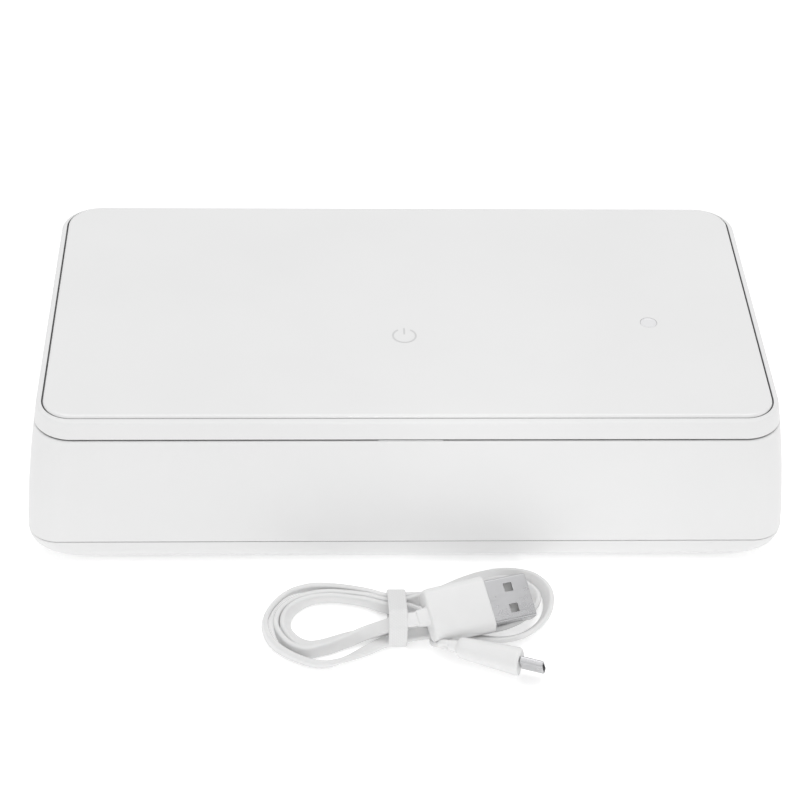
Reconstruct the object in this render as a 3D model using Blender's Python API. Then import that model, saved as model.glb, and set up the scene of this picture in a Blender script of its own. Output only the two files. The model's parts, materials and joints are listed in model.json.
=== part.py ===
"""Tabletop UV-C sterilizing box with a hinged lid, and its USB lead tied in a hank in front of it.

Frame: metres, +Z up, +X to the right, the box's front towards -Y. The origin is on the ground, under
the middle of the box. Dimensions below are in millimetres and angles in degrees.
"""
import math

import bpy
import bmesh
from mathutils import Matrix, Vector

MM = 0.001

# ---- Driving dimensions of the box ------------------------------------------------------------------
PLATE_HALF_X = 97.0          # top plate, from the middle to its side edges
PLATE_HALF_Y = 49.9          # top plate, from the middle to its front and back edges
PLATE_CORNER = 8.0           # the plate's corner radius in plan
HEIGHT = 46.8                # ground to the top of the plate
CORNER_STEPS = 7             # straight steps in each rounded corner

# The outer walls flare outwards from the parting line down to the seam of the bottom cover.
PARTING_Z = 40.6             # middle of the gap between lid and base
PARTING_GAP = 0.6
PARTING_FLARE = 2.7          # wall beyond the plate's edge at the parting line
SEAM_Z = 8.15                # middle of the gap between base shell and bottom cover
SEAM_GAP = 0.3
SEAM_FLARE = 6.0             # wall beyond the plate's edge at the seam
WALL = 2.3
CLEARANCE = 0.3              # between pieces that touch

# Lid, from the plate downwards
PLATE_GAP = 0.45             # round the plate
PLATE_UNDERSIDE = 45.0
PLATE_LEDGE = 44.7
RIM_TOP = 46.0
LID_FLOOR_TOP = 43.1
LID_FLOOR_BOTTOM = 41.9
RIM_BOTTOM = PARTING_Z + PARTING_GAP / 2

# Base
SHELL_TOP = PARTING_Z - PARTING_GAP / 2
SHELL_LEDGE = 38.5           # the tub's flange rests here
SHELL_BOTTOM = SEAM_Z + SEAM_GAP / 2
COVER_TOP = SEAM_Z - SEAM_GAP / 2
COVER_UNDERSIDE = 0.8
COVER_FLOOR_TOP = 2.8

# Chamber tub
TUB_TOP = 40.0
TUB_HALF_X = 89.5            # chamber mouth
TUB_HALF_Y = 42.4
TUB_WALL = 1.2
TUB_FLOOR_TOP = 15.2

# Hinge, on the rear wall at the parting line
HINGE_Y = 53.4
HINGE_Z = PARTING_Z
BARREL_RADIUS = 2.4
BARREL_CLEARANCE = 0.4
PIN_RADIUS = 0.9
PIN_BORE = 1.2
LUG_SPANS = ((62.0, 68.0), (78.0, 84.0))
KNUCKLE_SPAN = (68.4, 77.6)

# Chamber screws, posts and feet
POST_X = 95.8
POST_Y = 28.0
POST_RADIUS = 3.0
PILOT_RADIUS = 1.3
PANEL_SCREW_X = 80.0
PANEL_SCREW_Y = 33.0
FOOT_X = 84.0
FOOT_Y = 38.0
FOOT_RADIUS = 5.5
FOOT_RECESS_TOP = 1.7

# UV-C lamps
LED_ROWS_Y = (-18.0, 18.0)
LED_COLUMNS_X = (-54.0, -18.0, 18.0, 54.0)
PANEL_FLOOR_BOTTOM = 38.6
PANEL_FLOOR_TOP = 39.8

# Marks on the plate
POWER_KEY_AT = (-0.5, -14.1)
INDICATOR_AT = (67.8, -7.9)
LENS_RADIUS = 2.3

# Magnets
MAGNET_X = 70.0
MAGNET_SIZE = (12.0, 2.2, 2.0)
MAGNET_Y = -48.7

# Electronics in the base
BOARD_TOP = 9.3
BOARD_BOTTOM = 7.7
SOCKET_Z = 11.1
SOCKET_MOUTH_Y = 53.2

# ---- Driving dimensions of the USB lead -------------------------------------------------------------
HANK_TOP = 4.7
TIE_X = (-6.1, -1.2)
TIE_WALL = 0.8
TIE_BEND = 2.0               # the band's outer radius where it turns a corner
TIE_CORNERS = ((-87.6, 2.0), (-73.1, 2.0), (-73.1, 3.8), (-86.2, 9.2), (-88.2, 7.6))   # bends' centres, y and z

# Each plug's overmold ends, at its front face, in its own placement: point, heading, lift and roll.
USB_A_AT = (19.8, -80.8, 8.0)
USB_A_TURN = (20.1, -4.0, 31.0)
MICRO_AT = (27.5, -99.6, 5.3)
MICRO_TURN = (-19.6, 0.0, 122.0)

# ---- Materials --------------------------------------------------------------------------------------
MATERIALS = {
    "white_gloss_plastic": ((0.86, 0.86, 0.86), 0.28, 0.0),
    "white_matte_plastic": ((0.84, 0.84, 0.84), 0.50, 0.0),
    "chamber_metal": ((0.78, 0.79, 0.80), 0.16, 1.0),
    "steel": ((0.62, 0.62, 0.64), 0.30, 1.0),
    "plug_metal": ((0.70, 0.70, 0.71), 0.25, 1.0),
    "magnet_nickel": ((0.55, 0.55, 0.56), 0.32, 1.0),
    "board_green": ((0.05, 0.25, 0.12), 0.45, 0.0),
    "black_plastic": ((0.03, 0.03, 0.03), 0.45, 0.0),
    "lens": ((0.80, 0.82, 0.84), 0.20, 0.0),
    "led_ceramic": ((0.88, 0.84, 0.62), 0.35, 0.0),
    "silicone_seal": ((0.60, 0.60, 0.60), 0.70, 0.0),
    "foot_rubber": ((0.72, 0.72, 0.72), 0.80, 0.0),
    "cable_jacket": ((0.86, 0.86, 0.86), 0.42, 0.0),
    "tie_band": ((0.85, 0.85, 0.85), 0.60, 0.0),
}


def make_material(name):
    color, roughness, metallic = MATERIALS[name]
    material = bpy.data.materials.new(name)
    material.use_nodes = True
    shader = material.node_tree.nodes["Principled BSDF"]
    shader.inputs["Base Color"].default_value = (*color, 1.0)
    shader.inputs["Roughness"].default_value = roughness
    shader.inputs["Metallic"].default_value = metallic
    material.diffuse_color = (*color, 1.0)
    return material


def material_named(name):
    return bpy.data.materials.get(name) or make_material(name)


# ---- Mesh helpers (millimetres in, metres out) --------------------------------------------------------
def rounded_ring(half_x, half_y, radius, z, steps=CORNER_STEPS):
    """A rounded rectangle's points at height z, anticlockwise from above."""
    corners = ((1, 1, 0), (-1, 1, 90), (-1, -1, 180), (1, -1, 270))
    points = []
    for sign_x, sign_y, start in corners:
        for step in range(steps + 1):
            angle = math.radians(start + 90 * step / steps)
            x = sign_x * (half_x - radius) + radius * math.cos(angle)
            y = sign_y * (half_y - radius) + radius * math.sin(angle)
            points.append(Vector((x, y, z)))
    return points


def box_ring(offset, z, radius=None):
    """A ring round the box, offset outwards from the plate's edge."""
    corner = PLATE_CORNER + offset if radius is None else radius
    return rounded_ring(PLATE_HALF_X + offset, PLATE_HALF_Y + offset, corner, z)


def flare(z):
    """How far the outer wall stands beyond the plate's edge: a gentle bulge between parting and seam."""
    down = (PARTING_Z - z) / (PARTING_Z - SEAM_Z)
    return PARTING_FLARE + (SEAM_FLARE - PARTING_FLARE) * down * (3 - down) / 2


def loft_mesh(rings, closed=False):
    """Skin a list of rings. Ends are capped, unless the rings close on themselves like a tyre."""
    bm = bmesh.new()
    levels = [[bm.verts.new(point * MM) for point in ring] for ring in rings]
    pairs = list(zip(levels, levels[1:]))
    if closed:
        pairs.append((levels[-1], levels[0]))
    else:
        bm.faces.new(reversed(levels[0]))
        bm.faces.new(levels[-1])
    count = len(levels[0])
    for lower, upper in pairs:
        for i in range(count):
            j = (i + 1) % count
            bm.faces.new((lower[i], lower[j], upper[j], upper[i]))
    mesh = bpy.data.meshes.new("loft")
    bm.to_mesh(mesh)
    bm.free()
    return mesh


def box_mesh(low, high):
    """A plain block between two corners."""
    ring = [(low[0], low[1]), (high[0], low[1]), (high[0], high[1]), (low[0], high[1])]
    rings = [[Vector((x, y, z)) for x, y in ring] for z in (low[2], high[2])]
    return loft_mesh(rings)


def turned_mesh(profile, axis="Z", at=(0.0, 0.0, 0.0), steps=16):
    """A solid of revolution. profile holds (radius, height) pairs from bottom to top."""
    rings = []
    for radius, height in profile:
        angles = [math.tau * i / steps for i in range(steps)]
        rings.append([Vector((radius * math.cos(a), radius * math.sin(a), height)) for a in angles])
    mesh = loft_mesh(rings)
    if axis == "X":
        mesh.transform(Matrix.Rotation(math.radians(90), 4, "Y"))
    mesh.transform(Matrix.Translation(Vector(at) * MM))
    return mesh


def cylinder_x(span, radius, y, z, steps=16):
    """A cylinder along X between the two ends in span."""
    return turned_mesh([(radius, span[0]), (radius, span[1])], "X", (0.0, y, z), steps)


def cylinder_z(x, y, radius, low, high, steps=16):
    return turned_mesh([(radius, low), (radius, high)], "Z", (x, y, 0.0), steps)


def shade(mesh):
    """Smooth shading, with edges sharper than 30 degrees kept crisp."""
    mesh.shade_smooth()
    mesh.set_sharp_from_angle(angle=math.radians(30))


def add_node(name, mesh, material, parent=None):
    """Make one sub-part of the model. A lid piece hangs from the hinge empty."""
    shade(mesh)
    mesh.name = name
    mesh.materials.clear()
    mesh.materials.append(material_named(material))
    node = bpy.data.objects.new(name, mesh)
    bpy.context.collection.objects.link(node)
    if parent is not None:
        node.parent = parent
        node.matrix_parent_inverse = parent.matrix_world.inverted()
    return node


def combine(mesh, tools, operation):
    """Join tools to a mesh or cut them from it, one after the other."""
    target = bpy.data.objects.new("target", mesh)
    bpy.context.collection.objects.link(target)
    for tool_mesh in tools:
        tool = bpy.data.objects.new("tool", tool_mesh)
        bpy.context.collection.objects.link(tool)
        modifier = target.modifiers.new("combine", "BOOLEAN")
        modifier.operation = operation
        modifier.solver = "EXACT"
        modifier.object = tool
        depsgraph = bpy.context.evaluated_depsgraph_get()
        result = bpy.data.meshes.new_from_object(target.evaluated_get(depsgraph))
        target.modifiers.clear()
        target.data = result
        bpy.data.objects.remove(tool)
    result = target.data
    bpy.data.objects.remove(target)
    return result


def cut(mesh, tools):
    return combine(mesh, tools, "DIFFERENCE")


def join(mesh, tools):
    return combine(mesh, tools, "UNION")


def four_corners(x, y):
    """The four mirrored places of a feature, front left first and then anticlockwise."""
    return ((-x, -y), (x, -y), (x, y), (-x, y))


def mirrored(span, side):
    """A span along X on the right (side 1) or mirrored to the left (side -1)."""
    return (span[0], span[1]) if side > 0 else (-span[1], -span[0])


# ---- Base ---------------------------------------------------------------------------------------------
def seam_radius(z):
    """Corner radius of the outer wall in plan, which grows a little towards the seam."""
    down = (PARTING_Z - z) / (PARTING_Z - SEAM_Z)
    return PLATE_CORNER + 2.5 - 2.0 * down


def wall_ring(z, inset=0.0):
    return box_ring(flare(z) - inset, z, seam_radius(z) - inset)


def hinge_barrels(spans, radius):
    """Barrels on the hinge axis, on both sides of the box."""
    sides = [mirrored(span, side) for span in spans for side in (-1, 1)]
    return [cylinder_x(span, radius, HINGE_Y, HINGE_Z) for span in sides]


def shell_posts():
    """Screw posts inside the short walls, each with a web to the wall."""
    tools = []
    for x, y in four_corners(POST_X, POST_Y):
        tools.append(cylinder_z(x, y, POST_RADIUS, SHELL_BOTTOM + 0.2, 33.0, 12))
        side = math.copysign(1, x)
        low, high = sorted((x, x + side * 5.0))
        tools.append(box_mesh((low, y - 1.0, 10.0), (high, y + 1.0, 31.0)))
    return tools


def socket_opening():
    ring = [Vector((p.x, SOCKET_MOUTH_Y - 6.0, SOCKET_Z - p.y)) for p in rounded_ring(5.2, 2.5, 1.4, 0, 3)]
    outer = [Vector((p.x, SOCKET_MOUTH_Y + 6.0, p.z)) for p in ring]
    return loft_mesh([ring, outer])


def magnet_pocket(x, low, high):
    half_x = MAGNET_SIZE[0] / 2 + CLEARANCE
    half_y = MAGNET_SIZE[1] / 2 + CLEARANCE
    return box_mesh((x - half_x, MAGNET_Y - half_y, low), (x + half_x, MAGNET_Y + half_y, high))


def base_shell():
    """The base's wall: a bulging band with an inner ledge, hinge lugs, screw posts and a socket opening."""
    outer_heights = (SHELL_BOTTOM, 14.7, 21.1, 27.5, 34.0, SHELL_TOP - 0.4)
    rings = [wall_ring(z) for z in outer_heights]
    rings.append(wall_ring(SHELL_TOP, 0.35))
    rings.append(box_ring(0.4, SHELL_TOP))
    rings.append(box_ring(0.4, SHELL_LEDGE))
    rings.append(box_ring(-3.2, SHELL_LEDGE))
    rings.append(box_ring(-3.2, 35.2))
    rings += [wall_ring(z, WALL) for z in (31.2, 21.1, SHELL_BOTTOM)]
    mesh = loft_mesh(rings, closed=True)
    notch = (KNUCKLE_SPAN[0] - BARREL_CLEARANCE - 0.1, KNUCKLE_SPAN[1] + BARREL_CLEARANCE + 0.1)
    mesh = cut(mesh, hinge_barrels([notch], BARREL_RADIUS + BARREL_CLEARANCE))
    mesh = join(mesh, hinge_barrels(LUG_SPANS, BARREL_RADIUS) + shell_posts() + [front_locating_tab()])
    bores = [(LUG_SPANS[0][0] - 1, LUG_SPANS[1][1] + 1)]
    tools = hinge_barrels(bores, PIN_BORE)
    tools += [cylinder_z(x, y, PILOT_RADIUS, 5.0, 20.0, 10) for x, y in four_corners(POST_X, POST_Y)]
    tools += [magnet_pocket(x, 35.9, SHELL_LEDGE + 1) for x in (-MAGNET_X, MAGNET_X)]
    tools.append(socket_opening())
    return add_node("base_shell", cut(mesh, tools), "white_gloss_plastic")


def front_locating_tab():
    """A low tab on the front wall's top edge, which locates the lid and shows in the gap."""
    front = -(PLATE_HALF_Y + PARTING_FLARE)
    return box_mesh((-8.6, front + 0.3, SHELL_TOP - 1.0), (8.6, front + 1.9, RIM_BOTTOM - CLEARANCE))


def bottom_cover():
    """A shallow tray with a rounded-under edge, screw bosses, board posts and foot recesses."""
    edge = ((2.0, COVER_UNDERSIDE), (3.3, 1.3), (4.6, 2.6), (5.5, 4.8), (SEAM_FLARE - 0.05, COVER_TOP))
    rings = [box_ring(offset, z, 8.5 + (SEAM_FLARE - offset) * 1.2) for offset, z in edge]
    rings.append(box_ring(3.9, COVER_TOP, 7.5))
    rings.append(box_ring(3.5, 4.8, 8.0))
    rings.append(box_ring(2.2, COVER_FLOOR_TOP, 10.5))
    mesh = loft_mesh(rings)
    posts = four_corners(POST_X, POST_Y)
    tools = [cylinder_z(x, y, POST_RADIUS, 1.5, COVER_TOP, 12) for x, y in posts]
    tools += [cylinder_z(x, y, 2.0, 1.5, BOARD_BOTTOM - CLEARANCE, 10) for x, y in board_posts()]
    mesh = join(mesh, tools)
    tools = [cylinder_z(x, y, 2.6, 0.0, 4.5, 14) for x, y in posts]
    tools += [cylinder_z(x, y, 1.6, 0.0, 10.0, 10) for x, y in posts]
    tools += [cylinder_z(x, y, FOOT_RADIUS + CLEARANCE, 0.0, FOOT_RECESS_TOP) for x, y in foot_places()]
    return add_node("bottom_cover", cut(mesh, tools), "white_matte_plastic")


def board_posts():
    return ((-20.0, 22.0), (20.0, 22.0), (-20.0, 46.0), (20.0, 46.0))


def foot_places():
    return four_corners(FOOT_X, FOOT_Y)


def feet():
    profile = [(FOOT_RADIUS - 0.6, 0.0), (FOOT_RADIUS, 0.5), (FOOT_RADIUS, FOOT_RECESS_TOP - CLEARANCE)]
    for number, (x, y) in enumerate(foot_places(), 1):
        add_node(f"foot_{number}", turned_mesh(profile, "Z", (x, y, 0.0)), "foot_rubber")


def bottom_screws():
    profile = [(2.2, 2.2), (2.2, 4.2), (1.0, 4.2), (1.0, 17.0), (0.3, 18.2)]
    for number, (x, y) in enumerate(four_corners(POST_X, POST_Y), 1):
        add_node(f"bottom_screw_{number}", turned_mesh(profile, "Z", (x, y, 0.0), 12), "steel")


def tub_ring(inset, z, radius):
    return rounded_ring(TUB_HALF_X - inset, TUB_HALF_Y - inset, radius, z)


def chamber_tub():
    """The bright chamber: an open tub with a rounded floor edge and a flange that rests on the shell."""
    rings = [
        tub_ring(4.6, TUB_FLOOR_TOP - TUB_WALL, 6.0),
        tub_ring(2.2, TUB_FLOOR_TOP - TUB_WALL + 0.7, 8.0),
        tub_ring(1.2, TUB_FLOOR_TOP + 1.8, 9.0),
        tub_ring(-TUB_WALL, SHELL_LEDGE + CLEARANCE, 9.0),
        box_ring(0.0, SHELL_LEDGE + CLEARANCE),
        box_ring(0.0, TUB_TOP),
        tub_ring(0.0, TUB_TOP, 7.8),
        tub_ring(2.3, TUB_FLOOR_TOP + 2.2, 7.0),
        tub_ring(3.0, TUB_FLOOR_TOP + 0.6, 6.4),
        tub_ring(4.6, TUB_FLOOR_TOP, 5.0),
    ]
    return add_node("chamber_tub", loft_mesh(rings), "chamber_metal")


def tool_rack():
    """A slotted sheet tray that holds the tools off the chamber's floor, on four short legs."""
    low, high = 19.4, 20.4
    plate = loft_mesh([rounded_ring(80.0, 33.0, 6.0, z, 4) for z in (low, high)])
    legs = [cylinder_z(x, y, 1.6, TUB_FLOOR_TOP + CLEARANCE, low + 0.5, 10) for x, y in four_corners(72, 28.5)]
    plate = join(plate, legs)
    slots = []
    for column in range(-5, 6):
        x = column * 13.0
        for y_low, y_high in ((-23.0, -2.5), (2.5, 23.0)):
            slots.append(box_mesh((x - 4.0, y_low, low - 1), (x + 4.0, y_high, high + 1)))
    return add_node("tool_rack", cut(plate, slots), "steel")


def electronics():
    """Driver board with its chip and inductor, and the micro-USB socket in the rear wall."""
    add_node("control_board", box_mesh((-24.0, 18.0, BOARD_BOTTOM), (24.0, 52.6, BOARD_TOP)), "board_green")
    chip_z = BOARD_TOP + CLEARANCE
    add_node("driver_chip", box_mesh((-13.0, 26.0, chip_z), (-8.0, 31.0, chip_z + 1.2)), "black_plastic")
    coil = [(2.2, chip_z), (3.5, chip_z + 0.6), (3.5, chip_z + 2.6), (2.2, chip_z + 3.2)]
    add_node("power_inductor", turned_mesh(coil, "Z", (10.0, 29.0, 0.0)), "black_plastic")
    add_socket_shell()
    tongue = box_mesh((-1.9, SOCKET_MOUTH_Y - 4.6, SOCKET_Z + 0.1), (1.9, SOCKET_MOUTH_Y - 0.5, SOCKET_Z + 0.7))
    add_node("usb_socket_tongue", tongue, "black_plastic")


def add_socket_shell():
    """A thin metal sleeve, closed at the back and open to the rear of the box."""
    levels = ((3.7, 1.4, -5.5), (3.7, 1.4, 0.0), (3.4, 1.1, 0.0), (3.4, 1.1, -5.0))
    rings = []
    for half_x, half_z, y in levels:
        flat = rounded_ring(half_x, half_z, 0.6, 0.0, 3)
        rings.append([Vector((p.x, SOCKET_MOUTH_Y + y, SOCKET_Z - p.y)) for p in flat])
    add_node("usb_socket_shell", loft_mesh(rings), "plug_metal")


def interlock():
    """Hall sensor on its own small board, between the front wall and the chamber."""
    add_node("interlock_board", box_mesh((-7.0, -46.4, 25.0), (7.0, -45.6, 38.0)), "board_green")
    add_node("hall_sensor", box_mesh((-2.0, -45.3, 33.0), (2.0, -44.3, 36.0)), "black_plastic")


def magnets(prefix, low, parent=None):
    for side, word in ((-1, "left"), (1, "right")):
        x = side * MAGNET_X
        half_x, half_y = MAGNET_SIZE[0] / 2, MAGNET_SIZE[1] / 2
        block = box_mesh((x - half_x, MAGNET_Y - half_y, low), (x + half_x, MAGNET_Y + half_y, low + MAGNET_SIZE[2]))
        add_node(f"{prefix}_magnet_{word}", block, "magnet_nickel", parent)


def hinge_pins():
    for side, word in ((-1, "left"), (1, "right")):
        span = mirrored((LUG_SPANS[0][0] + 0.4, LUG_SPANS[1][1] - 0.4), side)
        add_node(f"hinge_pin_{word}", cylinder_x(span, PIN_RADIUS, HINGE_Y, HINGE_Z, 12), "steel")


# ---- Lid ----------------------------------------------------------------------------------------------
def hinge_empty():
    """The lid's pivot, on the hinge axis."""
    empty = bpy.data.objects.new("lid_hinge_axis", None)
    empty.location = Vector((0.0, HINGE_Y, HINGE_Z)) * MM
    bpy.context.collection.objects.link(empty)
    bpy.context.view_layer.update()
    return empty


def knuckles():
    """The lid's hinge knuckles, each with a web up to the frame's rear wall."""
    tools = hinge_barrels([KNUCKLE_SPAN], BARREL_RADIUS)
    for side in (-1, 1):
        low, high = mirrored(KNUCKLE_SPAN, side)
        tools.append(box_mesh((low, 49.6, RIM_BOTTOM + 0.2), (high, HINGE_Y, RIM_BOTTOM + 2.7)))
    return tools


def lid_frame(parent):
    """The lid's frame: a shallow tray, open to the top for the plate, with the rim down to the gap."""
    rings = [
        box_ring(-4.0, LID_FLOOR_BOTTOM, 5.0),
        box_ring(-3.8, RIM_BOTTOM, 5.2),
        wall_ring(RIM_BOTTOM, 0.25),
        wall_ring(RIM_BOTTOM + 0.4),
        wall_ring(43.2),
        wall_ring(45.0),
        wall_ring(45.7, 0.25),
        wall_ring(RIM_TOP, 0.8),
        box_ring(PLATE_GAP, RIM_TOP),
        box_ring(PLATE_GAP, PLATE_LEDGE),
        box_ring(-2.0, PLATE_LEDGE),
        box_ring(-2.0, LID_FLOOR_TOP),
    ]
    mesh = loft_mesh(rings)
    clear_span = (LUG_SPANS[0][0] - BARREL_CLEARANCE, LUG_SPANS[1][1] + BARREL_CLEARANCE)
    mesh = cut(mesh, hinge_barrels([clear_span], BARREL_RADIUS + BARREL_CLEARANCE))
    screws = four_corners(PANEL_SCREW_X, PANEL_SCREW_Y)
    bosses = [cylinder_z(x, y, 3.0, 40.1, LID_FLOOR_TOP - 0.4, 12) for x, y in screws]
    mesh = join(mesh, knuckles() + bosses)
    tools = hinge_barrels([(LUG_SPANS[0][0], LUG_SPANS[1][1])], PIN_BORE)
    tools += [cylinder_z(x, y, PILOT_RADIUS, 39.0, 42.5, 10) for x, y in screws]
    tools += [magnet_pocket(x, RIM_BOTTOM - 1, 43.3) for x in (-MAGNET_X, MAGNET_X)]
    tools.append(cylinder_z(0.0, MAGNET_Y, 2.9, RIM_BOTTOM - 1, 43.1, 14))
    return add_node("lid_frame", cut(mesh, tools), "white_gloss_plastic", parent)


def top_plate(parent):
    """The inset plate, slightly proud of the rim, with a soft rounded top edge and a hole for the lens."""
    rings = [box_ring(0.0, PLATE_UNDERSIDE), box_ring(0.0, HEIGHT - 1.0)]
    for angle in (30, 60, 90):
        drop = 1.0 - math.sin(math.radians(angle))
        inset = 1.0 - math.cos(math.radians(angle))
        rings.append(box_ring(-inset, HEIGHT - drop))
    hole = cylinder_z(*INDICATOR_AT, LENS_RADIUS + CLEARANCE, PLATE_UNDERSIDE - 1, HEIGHT + 1)
    return add_node("top_plate", cut(loft_mesh(rings), [hole]), "white_gloss_plastic", parent)


def lid_electronics(parent):
    """Touch board under the power symbol, and the indicator's small board and lens."""
    x, y = POWER_KEY_AT
    low, high = LID_FLOOR_TOP + CLEARANCE, LID_FLOOR_TOP + CLEARANCE + 0.8
    add_node("touch_board", box_mesh((x - 18, y - 12, low), (x + 18, y + 12, high)), "board_green", parent)
    x, y = INDICATOR_AT
    add_node("indicator_board", box_mesh((x - 5, y - 4, low), (x + 5, y + 4, high)), "board_green", parent)
    profile = [(LENS_RADIUS, high + CLEARANCE), (LENS_RADIUS, HEIGHT - 0.2), (LENS_RADIUS - 0.2, HEIGHT)]
    add_node("indicator_lens", turned_mesh(profile, "Z", (x, y, 0.0)), "lens", parent)


def lid_inner_panel(parent):
    """The reflector under the lid: a shallow tray with a long window under each row of lamps."""
    rings = [rounded_ring(half_x, half_x - 47.1, radius, z) for half_x, radius, z in (
        (87.0, 5.4, PANEL_FLOOR_BOTTOM),
        (88.0, 6.4, PANEL_FLOOR_BOTTOM + 1.0),
        (88.0, 6.4, LID_FLOOR_BOTTOM - CLEARANCE),
        (86.8, 5.2, LID_FLOOR_BOTTOM - CLEARANCE),
        (86.8, 5.2, PANEL_FLOOR_TOP + 0.3),
        (86.4, 4.8, PANEL_FLOOR_TOP),
    )]
    windows = []
    for y in LED_ROWS_Y:
        low, high = (-70.0, y - 3.5, PANEL_FLOOR_BOTTOM - 1), (70.0, y + 3.5, PANEL_FLOOR_TOP + 0.15)
        windows.append(box_mesh(low, high))
    holes = [cylinder_z(x, y, PILOT_RADIUS, 37.0, 40.5, 10) for x, y in four_corners(PANEL_SCREW_X, PANEL_SCREW_Y)]
    return add_node("lid_inner_panel", cut(loft_mesh(rings), windows + holes), "chamber_metal", parent)


def lamps(parent):
    """Two lamp boards above the windows, with four UV-C LEDs under each."""
    number = 0
    low = PANEL_FLOOR_TOP + CLEARANCE
    for y, word in zip(LED_ROWS_Y, ("front", "rear")):
        board = box_mesh((-74.0, y - 5.0, low), (74.0, y + 5.0, low + 1.0))
        add_node(f"uvc_board_{word}", board, "board_green", parent)
        for x in LED_COLUMNS_X:
            number += 1
            levels = ((1.3, 0.5, 38.95), (1.8, 0.3, 39.25), (1.8, 0.3, PANEL_FLOOR_TOP))
            rings = [rounded_ring(half, half, radius, z, 2) for half, radius, z in levels]
            moved = [[point + Vector((x, y, 0.0)) for point in ring] for ring in rings]
            add_node(f"uvc_led_{number}", loft_mesh(moved), "led_ceramic", parent)


def light_seal(parent):
    """A soft ring under the lid that closes on the tub's flange and keeps the UV light in."""
    low, high = TUB_TOP + CLEARANCE, LID_FLOOR_BOTTOM - CLEARANCE
    outer, inner = (92.7, 45.6, 6.0), (90.7, 43.6, 4.8)
    corners = ((outer, low), (outer, high), (inner, high), (inner, low))
    rings = [rounded_ring(*size, z) for size, z in corners]
    return add_node("light_seal", loft_mesh(rings, closed=True), "silicone_seal", parent)


def lid_screws(parent):
    profile = [(1.6, 37.3), (2.4, 37.8), (2.4, 38.3), (0.9, 38.3), (0.9, 42.0)]
    for number, (x, y) in enumerate(four_corners(PANEL_SCREW_X, PANEL_SCREW_Y), 1):
        add_node(f"lid_screw_{number}", turned_mesh(profile, "Z", (x, y, 0.0), 12), "steel", parent)


def interlock_magnet(parent):
    profile = [(2.5, RIM_BOTTOM + 0.1), (2.5, 42.7)]
    add_node("interlock_magnet", turned_mesh(profile, "Z", (0.0, MAGNET_Y, 0.0)), "magnet_nickel", parent)


# ---- USB lead -----------------------------------------------------------------------------------------
def smooth_outline(points, steps=3):
    """A closed smooth curve through a few points (Catmull-Rom)."""
    outline = []
    count = len(points)
    for i in range(count):
        p0, p1, p2, p3 = (Vector(points[(i + k - 1) % count]) for k in range(4))
        for step in range(steps):
            t = step / steps
            outline.append(0.5 * (2 * p1 + (p2 - p0) * t + (2 * p0 - 5 * p1 + 4 * p2 - p3) * t ** 2
                                  + (3 * p1 - p0 - 3 * p2 + p3) * t ** 3))
    return outline


def prism(outline, low, high):
    return loft_mesh([[Vector((p[0], p[1], z)) for p in outline] for z in (low, high)])


def plug_placement(at, turn):
    """From a plug's own frame (X across, Y through its thickness, Z along it) to the world."""
    heading, lift, roll = (math.radians(angle) for angle in turn)
    turned = Matrix.Rotation(heading, 4, "Z") @ Matrix.Rotation(-lift, 4, "Y") @ Matrix.Rotation(roll, 4, "X")
    along_z = Matrix(((0, 0, 1, 0), (1, 0, 0, 0), (0, 1, 0, 0), (0, 0, 0, 1)))
    return Matrix.Translation(Vector(at) * MM) @ turned @ along_z


USB_A_PLACE = plug_placement(USB_A_AT, USB_A_TURN)
MICRO_PLACE = plug_placement(MICRO_AT, MICRO_TURN)


def placed(mesh, placement):
    mesh.transform(placement)
    return mesh


def usb_cable_hank():
    """The wound lead's outer shape: a loop on each side of the tie, hollow where the loops are open."""
    # Hand-laid outline, anticlockwise from the tie's rear right corner.
    outline = [(0.4, -72.7), (-3.6, -72.7), (-7.6, -72.6), (-14.0, -69.0), (-22.0, -66.0), (-31.0, -67.5),
               (-37.6, -74.0), (-39.4, -81.5), (-37.0, -90.0), (-30.0, -96.6), (-21.0, -98.4), (-13.0, -95.2),
               (-7.6, -88.3), (-3.6, -88.2), (0.4, -88.2), (8.0, -89.4), (14.0, -90.0), (22.0, -89.9),
               (30.4, -87.4), (36.2, -82.0), (38.8, -75.4), (38.3, -68.4), (34.6, -62.6), (27.6, -60.4),
               (19.4, -62.0), (11.0, -66.4)]
    opening = [(-8.5, -81.0), (-15.0, -78.0), (-21.0, -76.4), (-26.6, -77.6), (-29.4, -81.6), (-27.2, -86.6),
               (-21.0, -89.0), (-14.5, -86.8)]
    mesh = prism(smooth_outline(outline, 2), 0.0, HANK_TOP)
    room = [
        prism(smooth_outline(opening, 2), -1.0, HANK_TOP + 1),
        box_mesh((TIE_X[0] - CLEARANCE, -95.0, -1.0), (TIE_X[1] + CLEARANCE, -70.0, TIE_WALL + 0.5)),
        placed(box_mesh((-8.0, -3.9, -22.0), (8.0, 12.0, 12.6)), USB_A_PLACE),
    ]
    return add_node("usb_cable_hank", cut(mesh, room), "cable_jacket")


def band_outline(radius, steps=4):
    """A line round the tie's four bends at the given radius."""
    outline = []
    count = len(TIE_CORNERS)
    for i, corner in enumerate(TIE_CORNERS):
        before, after = TIE_CORNERS[i - 1], TIE_CORNERS[(i + 1) % count]
        start = math.atan2(corner[1] - before[1], corner[0] - before[0]) - math.pi / 2
        turn = math.atan2(after[1] - corner[1], after[0] - corner[0]) - math.pi / 2 - start
        for step in range(steps + 1):
            angle = start + turn % math.tau * step / steps
            outline.append((corner[0] + radius * math.cos(angle), corner[1] + radius * math.sin(angle)))
    return outline


def cable_tie():
    """The soft band round the hank's waist, pulled up at the front by the plug that lies on the turns."""
    rings = []
    inner = TIE_BEND - TIE_WALL
    for radius, x in ((TIE_BEND, TIE_X[0]), (TIE_BEND, TIE_X[1]), (inner, TIE_X[1]), (inner, TIE_X[0])):
        rings.append([Vector((x, y, z)) for y, z in band_outline(radius)])
    return add_node("cable_tie", loft_mesh(rings, closed=True), "tie_band")


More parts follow.
